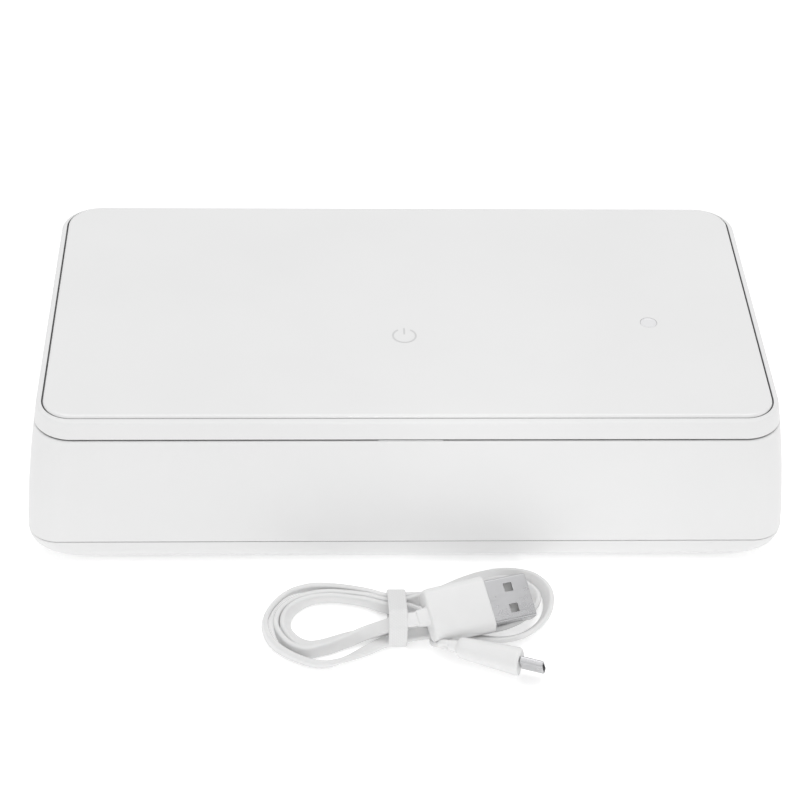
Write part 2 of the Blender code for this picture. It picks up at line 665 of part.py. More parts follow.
def plug_loft(sections, radius_share=0.42, steps=3):
    """Loft rounded sections (half width, half thickness, place along the plug)."""
    rings = []
    for half_w, half_t, along in sections:
        radius = min(half_w, half_t) * radius_share * 2 * 0.9
        rings.append(rounded_ring(half_w, half_t, radius, along, steps))
    return loft_mesh(rings)


def hollow_sleeve(half_w, half_t, wall, start, end, radius):
    """A metal sleeve open at its end and closed at its start."""
    outer, inner = (half_w, half_t, radius), (half_w - wall, half_t - wall, max(radius - wall, 0.2))
    levels = ((outer, start), (outer, end), (inner, end), (inner, start + wall))
    return loft_mesh([rounded_ring(*size, z, 3) for size, z in levels])


def usb_a_plug():
    """USB-A plug: overmold with its boot, metal shell with two square holes, and the insulator inside."""
    sections = ((2.1, 1.1, -19.9), (2.5, 1.6, -16.9), (6.8, 2.6, -16.6), (7.1, 2.9, -15.7),
                (7.3, 3.0, -8.0), (7.6, 3.2, -0.6), (7.4, 2.9, 0.0))
    add_node("usb_a_overmold", placed(plug_loft(sections), USB_A_PLACE), "cable_jacket")
    shell = hollow_sleeve(6.0, 2.25, 0.35, 0.3, 12.1, 0.6)
    holes = [box_mesh((x - 1.25, 1.0, 5.2), (x + 1.25, 3.0, 7.6)) for x in (-2.9, 2.9)]
    add_node("usb_a_shell", placed(cut(shell, holes), USB_A_PLACE), "plug_metal")
    add_node("usb_a_insert", placed(box_mesh((-5.3, -1.6, 1.0), (5.3, 0.2, 11.6)), USB_A_PLACE), "cable_jacket")


def micro_usb_plug():
    """Micro-USB plug, lying on its edge: overmold with its boot, and the metal shell."""
    sections = ((2.1, 1.1, -19.2), (2.2, 1.4, -16.9), (3.1, 2.1, -16.5), (3.6, 2.5, -15.0),
                (4.7, 3.2, -1.2), (4.5, 3.0, 0.0))
    add_node("micro_usb_overmold", placed(plug_loft(sections), MICRO_PLACE), "cable_jacket")
    shell = hollow_sleeve(3.4, 0.95, 0.3, 0.3, 6.3, 0.5)
    add_node("micro_usb_shell", placed(shell, MICRO_PLACE), "plug_metal")


def build_box():
    base_shell()
    bottom_cover()
    feet()
    bottom_screws()
    chamber_tub()
    tool_rack()
    electronics()
    interlock()
    magnets("base", 36.2)
    hinge_pins()


def build_lid():
    pivot = hinge_empty()
    lid_frame(pivot)
    top_plate(pivot)
    lid_electronics(pivot)
    lid_inner_panel(pivot)
    lamps(pivot)
    light_seal(pivot)
    lid_screws(pivot)
    magnets("lid", RIM_BOTTOM + 0.1, pivot)
    interlock_magnet(pivot)


def build_lead():
    usb_cable_hank()
    cable_tie()
    usb_a_plug()
    micro_usb_plug()


def main():
    for old in list(bpy.data.objects):
        bpy.data.objects.remove(old)
    build_box()
    build_lid()
    build_lead()


main()
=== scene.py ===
"""Looks of the UV-C sterilizing box and its tied USB lead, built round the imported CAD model.

Frame: +Z up, +X right, the box's front towards -Y. Dimensions are in millimetres, turned into metres by MM.
"""
import json
import math

import bmesh
import bpy
from mathutils import Matrix, Vector

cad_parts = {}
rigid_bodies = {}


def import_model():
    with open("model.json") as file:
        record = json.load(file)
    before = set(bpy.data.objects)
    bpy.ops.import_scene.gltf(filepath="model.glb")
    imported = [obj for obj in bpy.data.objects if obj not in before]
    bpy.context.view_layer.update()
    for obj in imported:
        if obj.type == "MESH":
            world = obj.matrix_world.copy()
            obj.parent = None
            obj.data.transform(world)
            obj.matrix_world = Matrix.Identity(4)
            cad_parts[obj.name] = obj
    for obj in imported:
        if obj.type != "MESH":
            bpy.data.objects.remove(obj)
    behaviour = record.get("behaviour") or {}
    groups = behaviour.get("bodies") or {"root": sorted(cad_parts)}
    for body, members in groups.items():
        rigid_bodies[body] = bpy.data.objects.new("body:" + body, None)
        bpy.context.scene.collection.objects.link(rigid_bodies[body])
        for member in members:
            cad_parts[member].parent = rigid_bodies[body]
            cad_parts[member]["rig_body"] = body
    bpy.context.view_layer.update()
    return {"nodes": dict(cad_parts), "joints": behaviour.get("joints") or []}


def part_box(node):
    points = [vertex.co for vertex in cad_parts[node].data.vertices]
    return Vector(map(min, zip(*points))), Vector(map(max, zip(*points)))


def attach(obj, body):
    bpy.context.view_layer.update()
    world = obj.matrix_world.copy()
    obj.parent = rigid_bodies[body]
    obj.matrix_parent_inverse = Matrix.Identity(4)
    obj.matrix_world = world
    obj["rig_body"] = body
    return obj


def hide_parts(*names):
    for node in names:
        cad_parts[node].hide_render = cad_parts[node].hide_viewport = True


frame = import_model()

MM = 0.001


def box_mm(node):
    low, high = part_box(node)
    return low / MM, high / MM


# ---- Dimensions, partly from the CAD nodes ----
PLATE_LOW, PLATE_HIGH = box_mm("top_plate")
PLATE_HALF_X, PLATE_HALF_Y, HEIGHT = PLATE_HIGH
PLATE_UNDERSIDE = PLATE_LOW.z
PLATE_CORNER = 8.0           # corner radius in plan
CORNER_STEPS = 14

HINGE_Y, HINGE_Z = (value / MM for value in frame["joints"][0]["pos_m"][1:])
PARTING_Z = HINGE_Z
PARTING_GAP = 0.42
PARTING_FLARE = 2.7          # wall beyond the plate's edge at the parting line
PARTING_CORNER = 10.5        # the wall's corner radius in plan there
SHELL_BOTTOM = box_mm("base_shell")[0].z
COVER_UNDERSIDE = box_mm("bottom_cover")[0].z
COVER_TOP = SHELL_BOTTOM - 0.12
SEAM_Z = (SHELL_BOTTOM + COVER_TOP) / 2
SEAM_FLARE = 6.0             # wall beyond the plate's edge at the seam
SEAM_CORNER = 8.5
COVER_ROUNDING = 2.2         # how fast the cover's corners round out as its edge turns under
WALL = 2.3
CLEARANCE = 0.3

SHELL_TOP = PARTING_Z - PARTING_GAP / 2
SHELL_LEDGE = box_mm("chamber_tub")[1].z - 1.5
RIM_BOTTOM = PARTING_Z + PARTING_GAP / 2
RIM_TOP = HEIGHT - 0.8
PLATE_GAP = 0.45
FRONT_GAP = 0.14
PLATE_LEDGE = PLATE_UNDERSIDE - CLEARANCE
LID_FLOOR_TOP = 43.1
LID_FLOOR_BOTTOM = 41.9

BARREL_RADIUS = 2.4
BARREL_CLEARANCE = 0.4
PIN_BORE = 1.2
LUG_SPANS = ((62.0, 68.0), (78.0, 84.0))
KNUCKLE_SPAN = (68.4, 77.6)

TUB_LOW, TUB_HIGH = box_mm("chamber_tub")
TUB_HALF_X, TUB_HALF_Y = 89.5, 42.4
TUB_WALL = 1.2
TUB_FLOOR_TOP = TUB_LOW.z + TUB_WALL

PANEL_LOW, PANEL_HIGH = box_mm("lid_inner_panel")
PANEL_FLOOR_TOP = PANEL_LOW.z + 1.2
LED_ROWS_Y = (-18.0, 18.0)
LED_COLUMNS_X = (-54.0, -18.0, 18.0, 54.0)

POWER_KEY_AT = Vector((-0.5, -14.1))
MAGNET_X, MAGNET_Y = 70.0, -48.7
CASE_SCREW_AT, PANEL_SCREW_AT, FOOT_AT = (95.8, 28.0), (80.0, 33.0), (84.0, 38.0)

# USB plugs: the overmold's front face in its own placement, as point, heading, lift and roll
USB_A_AT, USB_A_TURN = (19.8, -80.8, 8.0), (20.1, -4.0, 31.0)
MICRO_AT, MICRO_TURN = (27.5, -99.6, 5.3), (-19.6, 0.0, 122.0)

# The band round the cable: its thickness, its outer radius where it bends, and its bends' centres in Y and Z
TIE_WALL = 0.8
TIE_BEND = 2.0
TIE_CORNERS = ((-87.6, 2.0), (-73.1, 2.0), (-73.1, 3.8), (-86.2, 9.2), (-88.2, 7.6))


# ---- Mesh helpers ----
def rounded_ring(half_x, half_y, radius, z, steps=CORNER_STEPS):
    """A rounded rectangle's points at height z, anticlockwise from above."""
    points = []
    for sign_x, sign_y, start in ((1, 1, 0), (-1, 1, 90), (-1, -1, 180), (1, -1, 270)):
        for step in range(steps + 1):
            angle = math.radians(start + 90 * step / steps)
            x = sign_x * (half_x - radius) + radius * math.cos(angle)
            y = sign_y * (half_y - radius) + radius * math.sin(angle)
            points.append(Vector((x, y, z)))
    return points


def box_ring(offset, z, radius):
    """A ring round the box, offset outwards from the plate's edge."""
    return rounded_ring(PLATE_HALF_X + offset, PLATE_HALF_Y + offset, radius, z)


def flare(z):
    """How far the outer wall stands beyond the plate's edge: a gentle bulge between parting and seam."""
    down = (PARTING_Z - z) / (PARTING_Z - SEAM_Z)
    return PARTING_FLARE + (SEAM_FLARE - PARTING_FLARE) * down * (3 - down) / 2


def wall_point(z, inset=0.0, fillet=0.0):
    """A profile point on the outer wall: offset, height, corner radius in plan, fillet."""
    down = (PARTING_Z - z) / (PARTING_Z - SEAM_Z)
    return (flare(z) - inset, z, PARTING_CORNER + (SEAM_CORNER - PARTING_CORNER) * down - inset, fillet)


def inner_point(offset, z, fillet=0.0):
    return (offset, z, PLATE_CORNER + offset, fillet)


def filleted(profile, closed, steps=4):
    """Round a profile's corners. Each point is (offset, z, plan radius, fillet); gives the first three."""
    result = []
    count = len(profile)
    for i, (offset, z, radius, fillet) in enumerate(profile):
        if fillet <= 0 or (not closed and i in (0, count - 1)):
            result.append((offset, z, radius))
            continue
        here = Vector((offset, z))
        before, after = profile[i - 1], profile[(i + 1) % count]
        to_before = Vector(before[:2]) - here
        to_after = Vector(after[:2]) - here
        reach = 0.48 * min(to_before.length, to_after.length)
        to_before.normalize()
        to_after.normalize()
        half = to_before.angle(to_after) / 2
        tangent = min(fillet / math.tan(half), reach)
        arc_radius = tangent * math.tan(half)
        center = here + (to_before + to_after).normalized() * arc_radius / math.sin(half)
        start, end = here + to_before * tangent - center, here + to_after * tangent - center
        for step in range(steps + 1):
            at = center + start.slerp(end, step / steps).normalized() * arc_radius
            result.append((at.x, at.y, radius))
    return result


def box_rings(profile, closed, steps=4):
    return [box_ring(offset, z, radius) for offset, z, radius in filleted(profile, closed, steps)]


def size_rings(profile, half_y, closed=False, steps=4):
    """Rings of a free-standing rounded block, whose first profile point is half_y deep.

    Profile points are (half x, z, corner radius, fillet).
    """
    depth = half_y - profile[0][0]
    return [rounded_ring(half, half + depth, radius, z)
            for half, z, radius in filleted(profile, closed, steps)]


def loft_mesh(rings, closed=False):
    """Skin a list of rings. Ends are capped, unless the rings close on themselves like a tyre."""
    bm = bmesh.new()
    levels = [[bm.verts.new(point * MM) for point in ring] for ring in rings]
    pairs = list(zip(levels, levels[1:]))
    if closed:
        pairs.append((levels[-1], levels[0]))
    else:
        bm.faces.new(reversed(levels[0]))
        bm.faces.new(levels[-1])
    count = len(levels[0])
    for lower, upper in pairs:
        for i in range(count):
            j = (i + 1) % count
            bm.faces.new((lower[i], lower[j], upper[j], upper[i]))
    bmesh.ops.remove_doubles(bm, verts=bm.verts, dist=1e-7)
    bmesh.ops.recalc_face_normals(bm, faces=bm.faces)
    mesh = bpy.data.meshes.new("loft")
    bm.to_mesh(mesh)
    bm.free()
    return mesh


def box_mesh(low, high, chamfer=0.0):
    """A block between two corners, its edges rounded when a chamfer is given."""
    ring = [(low[0], low[1]), (high[0], low[1]), (high[0], high[1]), (low[0], high[1])]
    mesh = loft_mesh([[Vector((x, y, z)) for x, y in ring] for z in (low[2], high[2])])
    if chamfer > 0:
        bm = bmesh.new()
        bm.from_mesh(mesh)
        bmesh.ops.bevel(bm, geom=bm.edges[:], offset=chamfer * MM, segments=3, profile=0.5, affect="EDGES")
        bm.to_mesh(mesh)
        bm.free()
    return mesh


def turned_mesh(profile, axis="Z", at=(0.0, 0.0, 0.0), steps=32):
    """A solid of revolution. Profile points are (radius, height, fillet), bottom to top."""
    points = filleted([(radius, z, 0.0, fillet) for radius, z, fillet in profile], False)
    angles = [math.tau * i / steps for i in range(steps)]
    mesh = loft_mesh([[Vector((radius * math.cos(a), radius * math.sin(a), height)) for a in angles]
                      for radius, height, _ in points])
    if axis == "X":
        mesh.transform(Matrix.Rotation(math.radians(90), 4, "Y"))
    mesh.transform(Matrix.Translation(Vector(at) * MM))
    return mesh


def cylinder_z(x, y, radius, low, high, steps=24):
    return turned_mesh([(radius, low, 0), (radius, high, 0)], "Z", (x, y, 0.0), steps)


def new_object(name, data):
    obj = bpy.data.objects.new(name, data)
    bpy.context.scene.collection.objects.link(obj)
    return obj


def combine(mesh, tools, operation):
    """Join tools to a mesh or cut them from it."""
    target = new_object("target", mesh)
    for tool_mesh in tools:
        tool = new_object("tool", tool_mesh)
        modifier = target.modifiers.new("combine", "BOOLEAN")
        modifier.operation = operation
        modifier.solver = "EXACT"
        modifier.object = tool
        depsgraph = bpy.context.evaluated_depsgraph_get()
        result = bpy.data.meshes.new_from_object(target.evaluated_get(depsgraph))
        target.modifiers.clear()
        target.data = result
        bpy.data.objects.remove(tool)
    result = target.data
    bpy.data.objects.remove(target)
    return result


def cut(mesh, tools):
    return combine(mesh, tools, "DIFFERENCE")


def join(mesh, tools):
    return combine(mesh, tools, "UNION")


def merged(meshes):
    """Several meshes as one, without a boolean."""
    bm = bmesh.new()
    for mesh in meshes:
        bm.from_mesh(mesh)
    result = bpy.data.meshes.new("merged")
    bm.to_mesh(result)
    bm.free()
    return result


def four_corners(x, y):
    """The four mirrored places of a feature, front left first and then anticlockwise."""
    return ((-x, -y), (x, -y), (x, y), (-x, y))


def mirrored(span, side):
    return (span[0], span[1]) if side > 0 else (-span[1], -span[0])


# ---- Materials ----
GAP_SHADE = 0.22                 # painted shade: how dark a narrow gap gets, as a share of the surface's colour
GAP_SHADE_REACH = 1.1            # how near the walls of such a gap are


class Nodes:
    """A short way to write a material's node tree."""

    def __init__(self, name, color, roughness, metallic=0.0):
        self.material = bpy.data.materials.new(name)
        self.material.use_nodes = True
        self.material.diffuse_color = (*color, 1.0)
        self.tree = self.material.node_tree
        self.shader = self.tree.nodes["Principled BSDF"]
        self.set("Base Color", (*color, 1.0))
        self.set("Roughness", roughness)
        self.set("Metallic", metallic)
        self.place = self.add("ShaderNodeTexCoord").outputs["Object"]

    def set(self, socket, value):
        self.shader.inputs[socket].default_value = value

    def add(self, kind, inputs=(), **settings):
        node = self.tree.nodes.new(kind)
        for key, value in settings.items():
            setattr(node, key, value)
        for socket, value in dict(inputs).items():
            if isinstance(value, bpy.types.NodeSocket):
                self.tree.links.new(value, node.inputs[socket])
            else:
                node.inputs[socket].default_value = value
        return node

    def link(self, output, socket):
        self.tree.links.new(output, self.shader.inputs[socket])

    def stretched(self, scale):
        """Object coordinates, scaled differently along each axis."""
        return self.add("ShaderNodeMapping", {"Vector": self.place, "Scale": scale}).outputs["Vector"]

    def noise(self, scale, detail=3.0, vector=None, roughness=0.55):
        inputs = {"Vector": vector or self.place, "Scale": scale, "Detail": detail, "Roughness": roughness}
        return self.add("ShaderNodeTexNoise", inputs).outputs["Fac"]

    def ramp(self, value, low, high, start=0.3, end=0.7):
        inputs = {"Value": value, "From Min": start, "From Max": end, "To Min": low, "To Max": high}
        return self.add("ShaderNodeMapRange", inputs).outputs["Result"]

    def colors(self, value, low, high, start=0.3, end=0.7):
        node = self.add("ShaderNodeValToRGB", {"Fac": value})
        node.color_ramp.elements[0].position = start
        node.color_ramp.elements[0].color = (*low, 1.0)
        node.color_ramp.elements[1].position = end
        node.color_ramp.elements[1].color = (*high, 1.0)
        return node.outputs["Color"]

    def bump(self, heights):
        """Bump from (height, strength, distance in mm) triples, coarse first."""
        normal = None
        for height, strength, distance in heights:
            inputs = {"Height": height, "Strength": strength, "Distance": distance * MM}
            if normal is not None:
                inputs["Normal"] = normal
            normal = self.add("ShaderNodeBump", inputs).outputs["Normal"]
        self.link(normal, "Normal")

    def mixed(self, share, low, high):
        """Two colours, mixed by share."""
        return self.add("ShaderNodeMix", {0: share, 6: low, 7: high}, data_type="RGBA").outputs[2]

    def painted_gap_shade(self, color, base):
        """Base colour with painted shade: it darkens deep in narrow gaps, where shade falls."""
        reach = {"Distance": GAP_SHADE_REACH * MM}
        openness = self.add("ShaderNodeAmbientOcclusion", reach, samples=8).outputs["AO"]
        share = self.ramp(openness, 0.0, 1.0, 0.12, 0.62)
        self.link(self.mixed(share, (*scaled(base, GAP_SHADE), 1.0), color), "Base Color")


def scaled(color, factor):
    return tuple(channel * factor for channel in color)


def plastic(name, color, roughness, grain, coat=0.0, grain_scale=1400.0):
    """Moulded plastic: faint colour drift, satin grain, long soft ripples and handling marks."""
    n = Nodes(name, color, roughness)
    drift = n.noise(22.0, 4.0)
    # Painted shade: the colour darkens in narrow gaps, such as the parting line, the seam and round the
    # plate.
    n.painted_gap_shade(n.colors(drift, scaled(color, 0.985), scaled(color, 1.008)), color)
    smudges = n.noise(55.0, 6.0, roughness=0.7)
    n.link(n.ramp(smudges, roughness - 0.02, roughness + 0.03), "Roughness")
    rubs = n.noise(90.0, 5.0, n.stretched((1.0, 6.0, 6.0)), 0.75)
    n.bump([(n.noise(30.0, 2.0), 0.05, 0.25), (rubs, 0.02, 0.02), (n.noise(grain_scale, 2.0), grain, 0.02)])
    n.set("Coat Weight", coat)
    n.set("Coat Roughness", 0.12)
    n.set("Specular IOR Level", 0.45)
    return n.material


def metal(name, color, roughness, brush_scale, brush_axes=(1.0, 14.0, 14.0), marks=0.25):
    """Metal sheet: brushed grain along X, roughness drift and fine scratches."""
    n = Nodes(name, color, roughness, 1.0)
    grain = n.noise(brush_scale, 4.0, n.stretched(brush_axes), 0.7)
    n.link(n.colors(grain, scaled(color, 0.97), scaled(color, 1.02)), "Base Color")
    drift = n.noise(45.0, 5.0, roughness=0.7)
    rough = n.add("ShaderNodeMath", {0: n.ramp(drift, roughness * 0.75, roughness * 1.4),
                                     1: n.ramp(grain, -0.03, 0.05)}, operation="ADD").outputs[0]
    n.link(rough, "Roughness")
    n.bump([(n.noise(30.0, 2.0), 0.03, 0.05), (grain, marks, 0.012)])
    return n.material


def circuit_board(name, mask, trace):
    """Solder mask with copper tracks showing through as a slightly lighter raised pattern."""
    n = Nodes(name, mask, 0.38)
    bricks = n.add("ShaderNodeTexBrick", {"Vector": n.stretched((420.0, 300.0, 300.0)), "Scale": 1.0,
                                          "Mortar Size": 0.07, "Color1": (1, 1, 1, 1), "Color2": (1, 1, 1, 1),
                                          "Mortar": (0, 0, 0, 1)})
    track = bricks.outputs["Fac"]
    weave = n.noise(2200.0, 2.0, n.stretched((1.0, 0.4, 1.0)))
    ground = n.colors(weave, scaled(mask, 0.9), scaled(mask, 1.08))
    n.link(n.mixed(track, ground, (*trace, 1.0)), "Base Color")
    n.link(n.ramp(weave, 0.3, 0.46), "Roughness")
    n.bump([(track, 0.5, 0.035), (weave, 0.12, 0.01)])
    return n.material


def rubber(name, color, roughness=0.75):
    n = Nodes(name, color, roughness)
    dust = n.noise(160.0, 6.0, roughness=0.75)
    n.link(n.colors(dust, scaled(color, 0.93), scaled(color, 1.05)), "Base Color")
    n.link(n.ramp(dust, roughness - 0.08, roughness + 0.1), "Roughness")
    n.bump([(n.noise(1100.0, 3.0), 0.35, 0.03), (n.noise(4200.0, 1.0), 0.2, 0.01)])
    return n.material


def soft_jacket(name, color):
    """Soft white cable jacket: a satin skin with faint extrusion ripples and a little depth."""
    n = Nodes(name, color, 0.42)
    drift = n.noise(120.0, 4.0)
    n.link(n.colors(drift, scaled(color, 0.97), scaled(color, 1.01)), "Base Color")
    n.link(n.ramp(n.noise(260.0, 5.0, roughness=0.7), 0.36, 0.52), "Roughness")
    n.bump([(n.noise(210.0, 2.0), 0.08, 0.08), (n.noise(2600.0, 2.0), 0.16, 0.012)])
    n.set("Subsurface Weight", 0.08)
    n.set("Subsurface Radius", (0.0012, 0.0011, 0.0010))
    n.set("Subsurface Scale", 1.0)
    return n.material


def strap_cloth(name, color):
    """Soft woven strap: a fine plain weave with lint."""
    n = Nodes(name, color, 0.8)
    across = n.add("ShaderNodeTexWave", {"Vector": n.place, "Scale": 620.0, "Distortion": 0.6},
                   bands_direction="X").outputs["Fac"]
    along = n.add("ShaderNodeTexWave", {"Vector": n.place, "Scale": 620.0, "Distortion": 0.6},
                  bands_direction="DIAGONAL").outputs["Fac"]
    weave = n.add("ShaderNodeMath", {0: across, 1: along}, operation="MULTIPLY").outputs[0]
    lint = n.noise(900.0, 5.0, roughness=0.8)
    n.link(n.colors(weave, scaled(color, 0.965), scaled(color, 1.01), 0.0, 0.8), "Base Color")
    n.link(n.ramp(lint, 0.7, 0.92), "Roughness")
    n.bump([(weave, 0.16, 0.03), (lint, 0.14, 0.02)])
    n.set("Sheen Weight", 0.15)
    n.set("Sheen Roughness", 0.5)
    return n.material


def clear_plastic(name, color):
    """Milky clear light guide."""
    n = Nodes(name, color, 0.14)
    haze = n.noise(500.0, 4.0)
    n.link(n.colors(haze, scaled(color, 0.97), color), "Base Color")
    n.link(n.ramp(haze, 0.1, 0.22), "Roughness")
    n.bump([(n.noise(1500.0, 2.0), 0.08, 0.01)])
    n.set("Transmission Weight", 0.15)
    n.set("IOR", 1.49)
    return n.material


WHITE = (0.815, 0.815, 0.815)

MATERIALS = {
    "housing": plastic("housing_satin_white", WHITE, 0.5, 0.05, coat=0.06),
    "plate": plastic("plate_gloss_white", scaled(WHITE, 1.01), 0.2, 0.03, coat=0.4, grain_scale=2200.0),
    "cover": plastic("cover_matte_white", scaled(WHITE, 0.98), 0.5, 0.3, grain_scale=900.0),
    "print": plastic("print_pale_grey", (0.62, 0.62, 0.62), 0.4, 0.05),
    "chamber_metal": metal("chamber_bright_metal", (0.80, 0.81, 0.82), 0.16, 60.0, marks=0.1),
    "steel": metal("satin_steel", (0.62, 0.62, 0.63), 0.28, 90.0),
    "plug_metal": metal("nickel_plate", (0.52, 0.52, 0.53), 0.28, 240.0, (1.0, 1.0, 5.0), marks=0.05),
    "magnet": metal("magnet_nickel", (0.55, 0.55, 0.56), 0.3, 130.0, (1.0, 1.0, 1.0)),
    "board": circuit_board("board_green", (0.03, 0.2, 0.09), (0.08, 0.34, 0.16)),
    "lamp_board": circuit_board("board_white", (0.72, 0.73, 0.72), (0.82, 0.82, 0.80)),
    "gold": metal("gold_pads", (0.83, 0.62, 0.28), 0.3, 200.0, (1.0, 1.0, 1.0)),
    "black_plastic": plastic("black_moulding", (0.02, 0.02, 0.021), 0.45, 0.3),
    "lens": plastic("milky_lens", (0.80, 0.80, 0.81), 0.16, 0.03, coat=0.5),
    "led": plastic("led_ceramic", (0.80, 0.78, 0.70), 0.35, 0.2),
    "led_window": clear_plastic("led_quartz", (0.72, 0.72, 0.78)),
    "seal": rubber("silicone_grey", (0.52, 0.52, 0.53), 0.55),
    "foot": rubber("foot_rubber", (0.62, 0.62, 0.61)),
    "cable_jacket": soft_jacket("cable_white", (0.75, 0.75, 0.75)),
    "tie": strap_cloth("strap_white", (0.74, 0.74, 0.74)),
}


# ---- Pieces ----
def add_piece(name, mesh, finish, replaces=(), body=None, angle=32.0, weighted=True):
    """Shade a mesh, give it its finish, and let it ride with the body of the CAD node it stands for."""
    mesh.shade_smooth()
    mesh.set_sharp_from_angle(angle=math.radians(angle))
    mesh.name = name
    finishes = (finish,) if isinstance(finish, str) else finish
    mesh.materials.clear()
    for entry in finishes:
        mesh.materials.append(MATERIALS[entry])
    piece = new_object(name, mesh)
    if weighted:
        modifier = piece.modifiers.new("even_shading", "WEIGHTED_NORMAL")
        modifier.keep_sharp = True
    nodes = (replaces,) if isinstance(replaces, str) else tuple(replaces)
    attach(piece, body or frame["nodes"][nodes[0]]["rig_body"])
    if nodes:
        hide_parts(*nodes)
    return piece


def both_sides(spans):
    return [mirrored(span, side) for span in spans for side in (-1, 1)]


def hinge_barrels(spans, radius):
    return [turned_mesh([(radius, low, 0), (radius, high, 0)], "X", (0.0, HINGE_Y, HINGE_Z))
            for low, high in both_sides(spans)]


def soft_barrels(spans):
    """Hinge barrels with their end edges chamfered."""
    barrels = []
    for low, high in both_sides(spans):
        profile = [(BARREL_RADIUS - 0.3, low, 0), (BARREL_RADIUS, low + 0.3, 0),
                   (BARREL_RADIUS, high - 0.3, 0), (BARREL_RADIUS - 0.3, high, 0)]
        barrels.append(turned_mesh(profile, "X", (0.0, HINGE_Y, HINGE_Z), 40))
    return barrels


def magnet_pocket(x, low, high):
    return box_mesh((x - 6.3, MAGNET_Y - 1.4, low), (x + 6.3, MAGNET_Y + 1.4, high))


def socket_opening():
    low, high = box_mm("usb_socket_shell")
    middle_z = (low.z + high.z) / 2
    ring = rounded_ring(5.2, 2.5, 1.4, 0, 6)
    return loft_mesh([[Vector((p.x, y, middle_z - p.y)) for p in ring] for y in (high.y - 6.0, high.y + 6.0)])


def base_shell():
    heights = [SHELL_BOTTOM + (SHELL_TOP - SHELL_BOTTOM) * i / 12 for i in range(13)]
    profile = [wall_point(SHELL_BOTTOM, 0.0, 0.3)]
    profile += [wall_point(z) for z in heights[1:-1]]
    profile += [wall_point(SHELL_TOP, 0.0, 0.45), inner_point(0.4, SHELL_TOP, 0.25)]
    profile += [inner_point(0.4, SHELL_LEDGE, 0.1), inner_point(-3.2, SHELL_LEDGE, 0.3)]
    profile.append(inner_point(-3.2, 35.2))
    profile += [wall_point(z, WALL) for z in (31.2, 21.1, SHELL_BOTTOM)]
    mesh = loft_mesh(box_rings(profile, True), closed=True)
    notch = (KNUCKLE_SPAN[0] - BARREL_CLEARANCE - 0.1, KNUCKLE_SPAN[1] + BARREL_CLEARANCE + 0.1)
    mesh = cut(mesh, hinge_barrels([notch], BARREL_RADIUS + BARREL_CLEARANCE))
    front = -(PLATE_HALF_Y + PARTING_FLARE)
    tab = box_mesh((-8.6, front + 0.3, SHELL_TOP - 1.0), (8.6, front + 1.9, RIM_BOTTOM - CLEARANCE), 0.12)
    mesh = join(mesh, soft_barrels(LUG_SPANS) + [tab])
    tools = hinge_barrels([(LUG_SPANS[0][0] - 1, LUG_SPANS[1][1] + 1)], PIN_BORE)
    tools += [magnet_pocket(x, 35.9, SHELL_LEDGE + 1) for x in (-MAGNET_X, MAGNET_X)]
    tools.append(socket_opening())
    add_piece("housing_wall", cut(mesh, tools), "housing", "base_shell")


def bottom_cover():
    rounding = ((2.0, COVER_UNDERSIDE), (2.7, 0.95), (3.3, 1.3), (3.95, 1.85), (4.6, 2.6), (5.1, 3.6),
                (5.5, 4.8), (5.8, 6.4))
    profile = [(offset, z, SEAM_CORNER + (SEAM_FLARE - offset) * COVER_ROUNDING, 0.0)
               for offset, z in rounding]
    profile.append((SEAM_FLARE - 0.05, COVER_TOP, SEAM_CORNER + 0.1, 0.25))
    profile += [(3.9, COVER_TOP, 7.5, 0.2), (3.5, 4.8, 8.0, 0.0), (2.2, 2.8, 10.5, 0.0)]
    mesh = loft_mesh(box_rings(profile, False))
    screw_places = four_corners(*CASE_SCREW_AT)
    tools = [cylinder_z(x, y, 2.6, -1.0, 4.5) for x, y in screw_places]
    tools += [cylinder_z(x, y, 1.6, -1.0, 10.0) for x, y in screw_places]
    tools += [cylinder_z(x, y, 5.8, -1.0, 1.7, 40) for x, y in four_corners(*FOOT_AT)]
    add_piece("underside_cover", cut(mesh, tools), "cover", "bottom_cover")


def feet():
    profile = [(0.4, 0.12, 0), (3.9, 0.12, 0.1), (4.2, 0.0, 0.1), (5.1, 0.0, 0.25), (5.5, 0.6, 0.2),
               (5.5, 1.4, 0.0)]
    for number, (x, y) in enumerate(four_corners(*FOOT_AT), 1):
        mesh = turned_mesh(profile, "Z", (x, y, 0.0), 40)
        add_piece(f"rubber_foot_{number}", mesh, "foot", f"foot_{number}")


def cross_recess(x, y, low, high, reach):
    return [box_mesh((x - reach, y - 0.28, low), (x + reach, y + 0.28, high)),
            box_mesh((x - 0.28, y - reach, low), (x + 0.28, y + reach, high))]


def screws():
    """Pan-head screws, heads down, each with a cross recess."""
    case_profile = [(0.5, 2.2, 0), (2.2, 2.2, 0.45), (2.2, 4.2, 0.1), (1.0, 4.2, 0.1), (1.0, 17.0, 0),
                    (0.3, 18.2, 0)]
    panel_profile = [(0.5, 37.3, 0), (2.1, 37.3, 0.6), (2.4, 38.3, 0.15), (0.9, 38.3, 0.1), (0.9, 42.0, 0)]
    for name, node, place, profile in (("case_screw", "bottom_screw", CASE_SCREW_AT, case_profile),
                                       ("panel_screw", "lid_screw", PANEL_SCREW_AT, panel_profile)):
        head = profile[0][1]
        for number, (x, y) in enumerate(four_corners(*place), 1):
            mesh = turned_mesh(profile, "Z", (x, y, 0.0), 28)
            mesh = cut(mesh, cross_recess(x, y, head - 0.5, head + 0.75, 1.15))
            add_piece(f"{name}_{number}", mesh, "steel", f"{node}_{number}", weighted=False)


def tub_point(inset, z, radius, fillet=0.0):
    return (TUB_HALF_X - inset, z, radius, fillet)


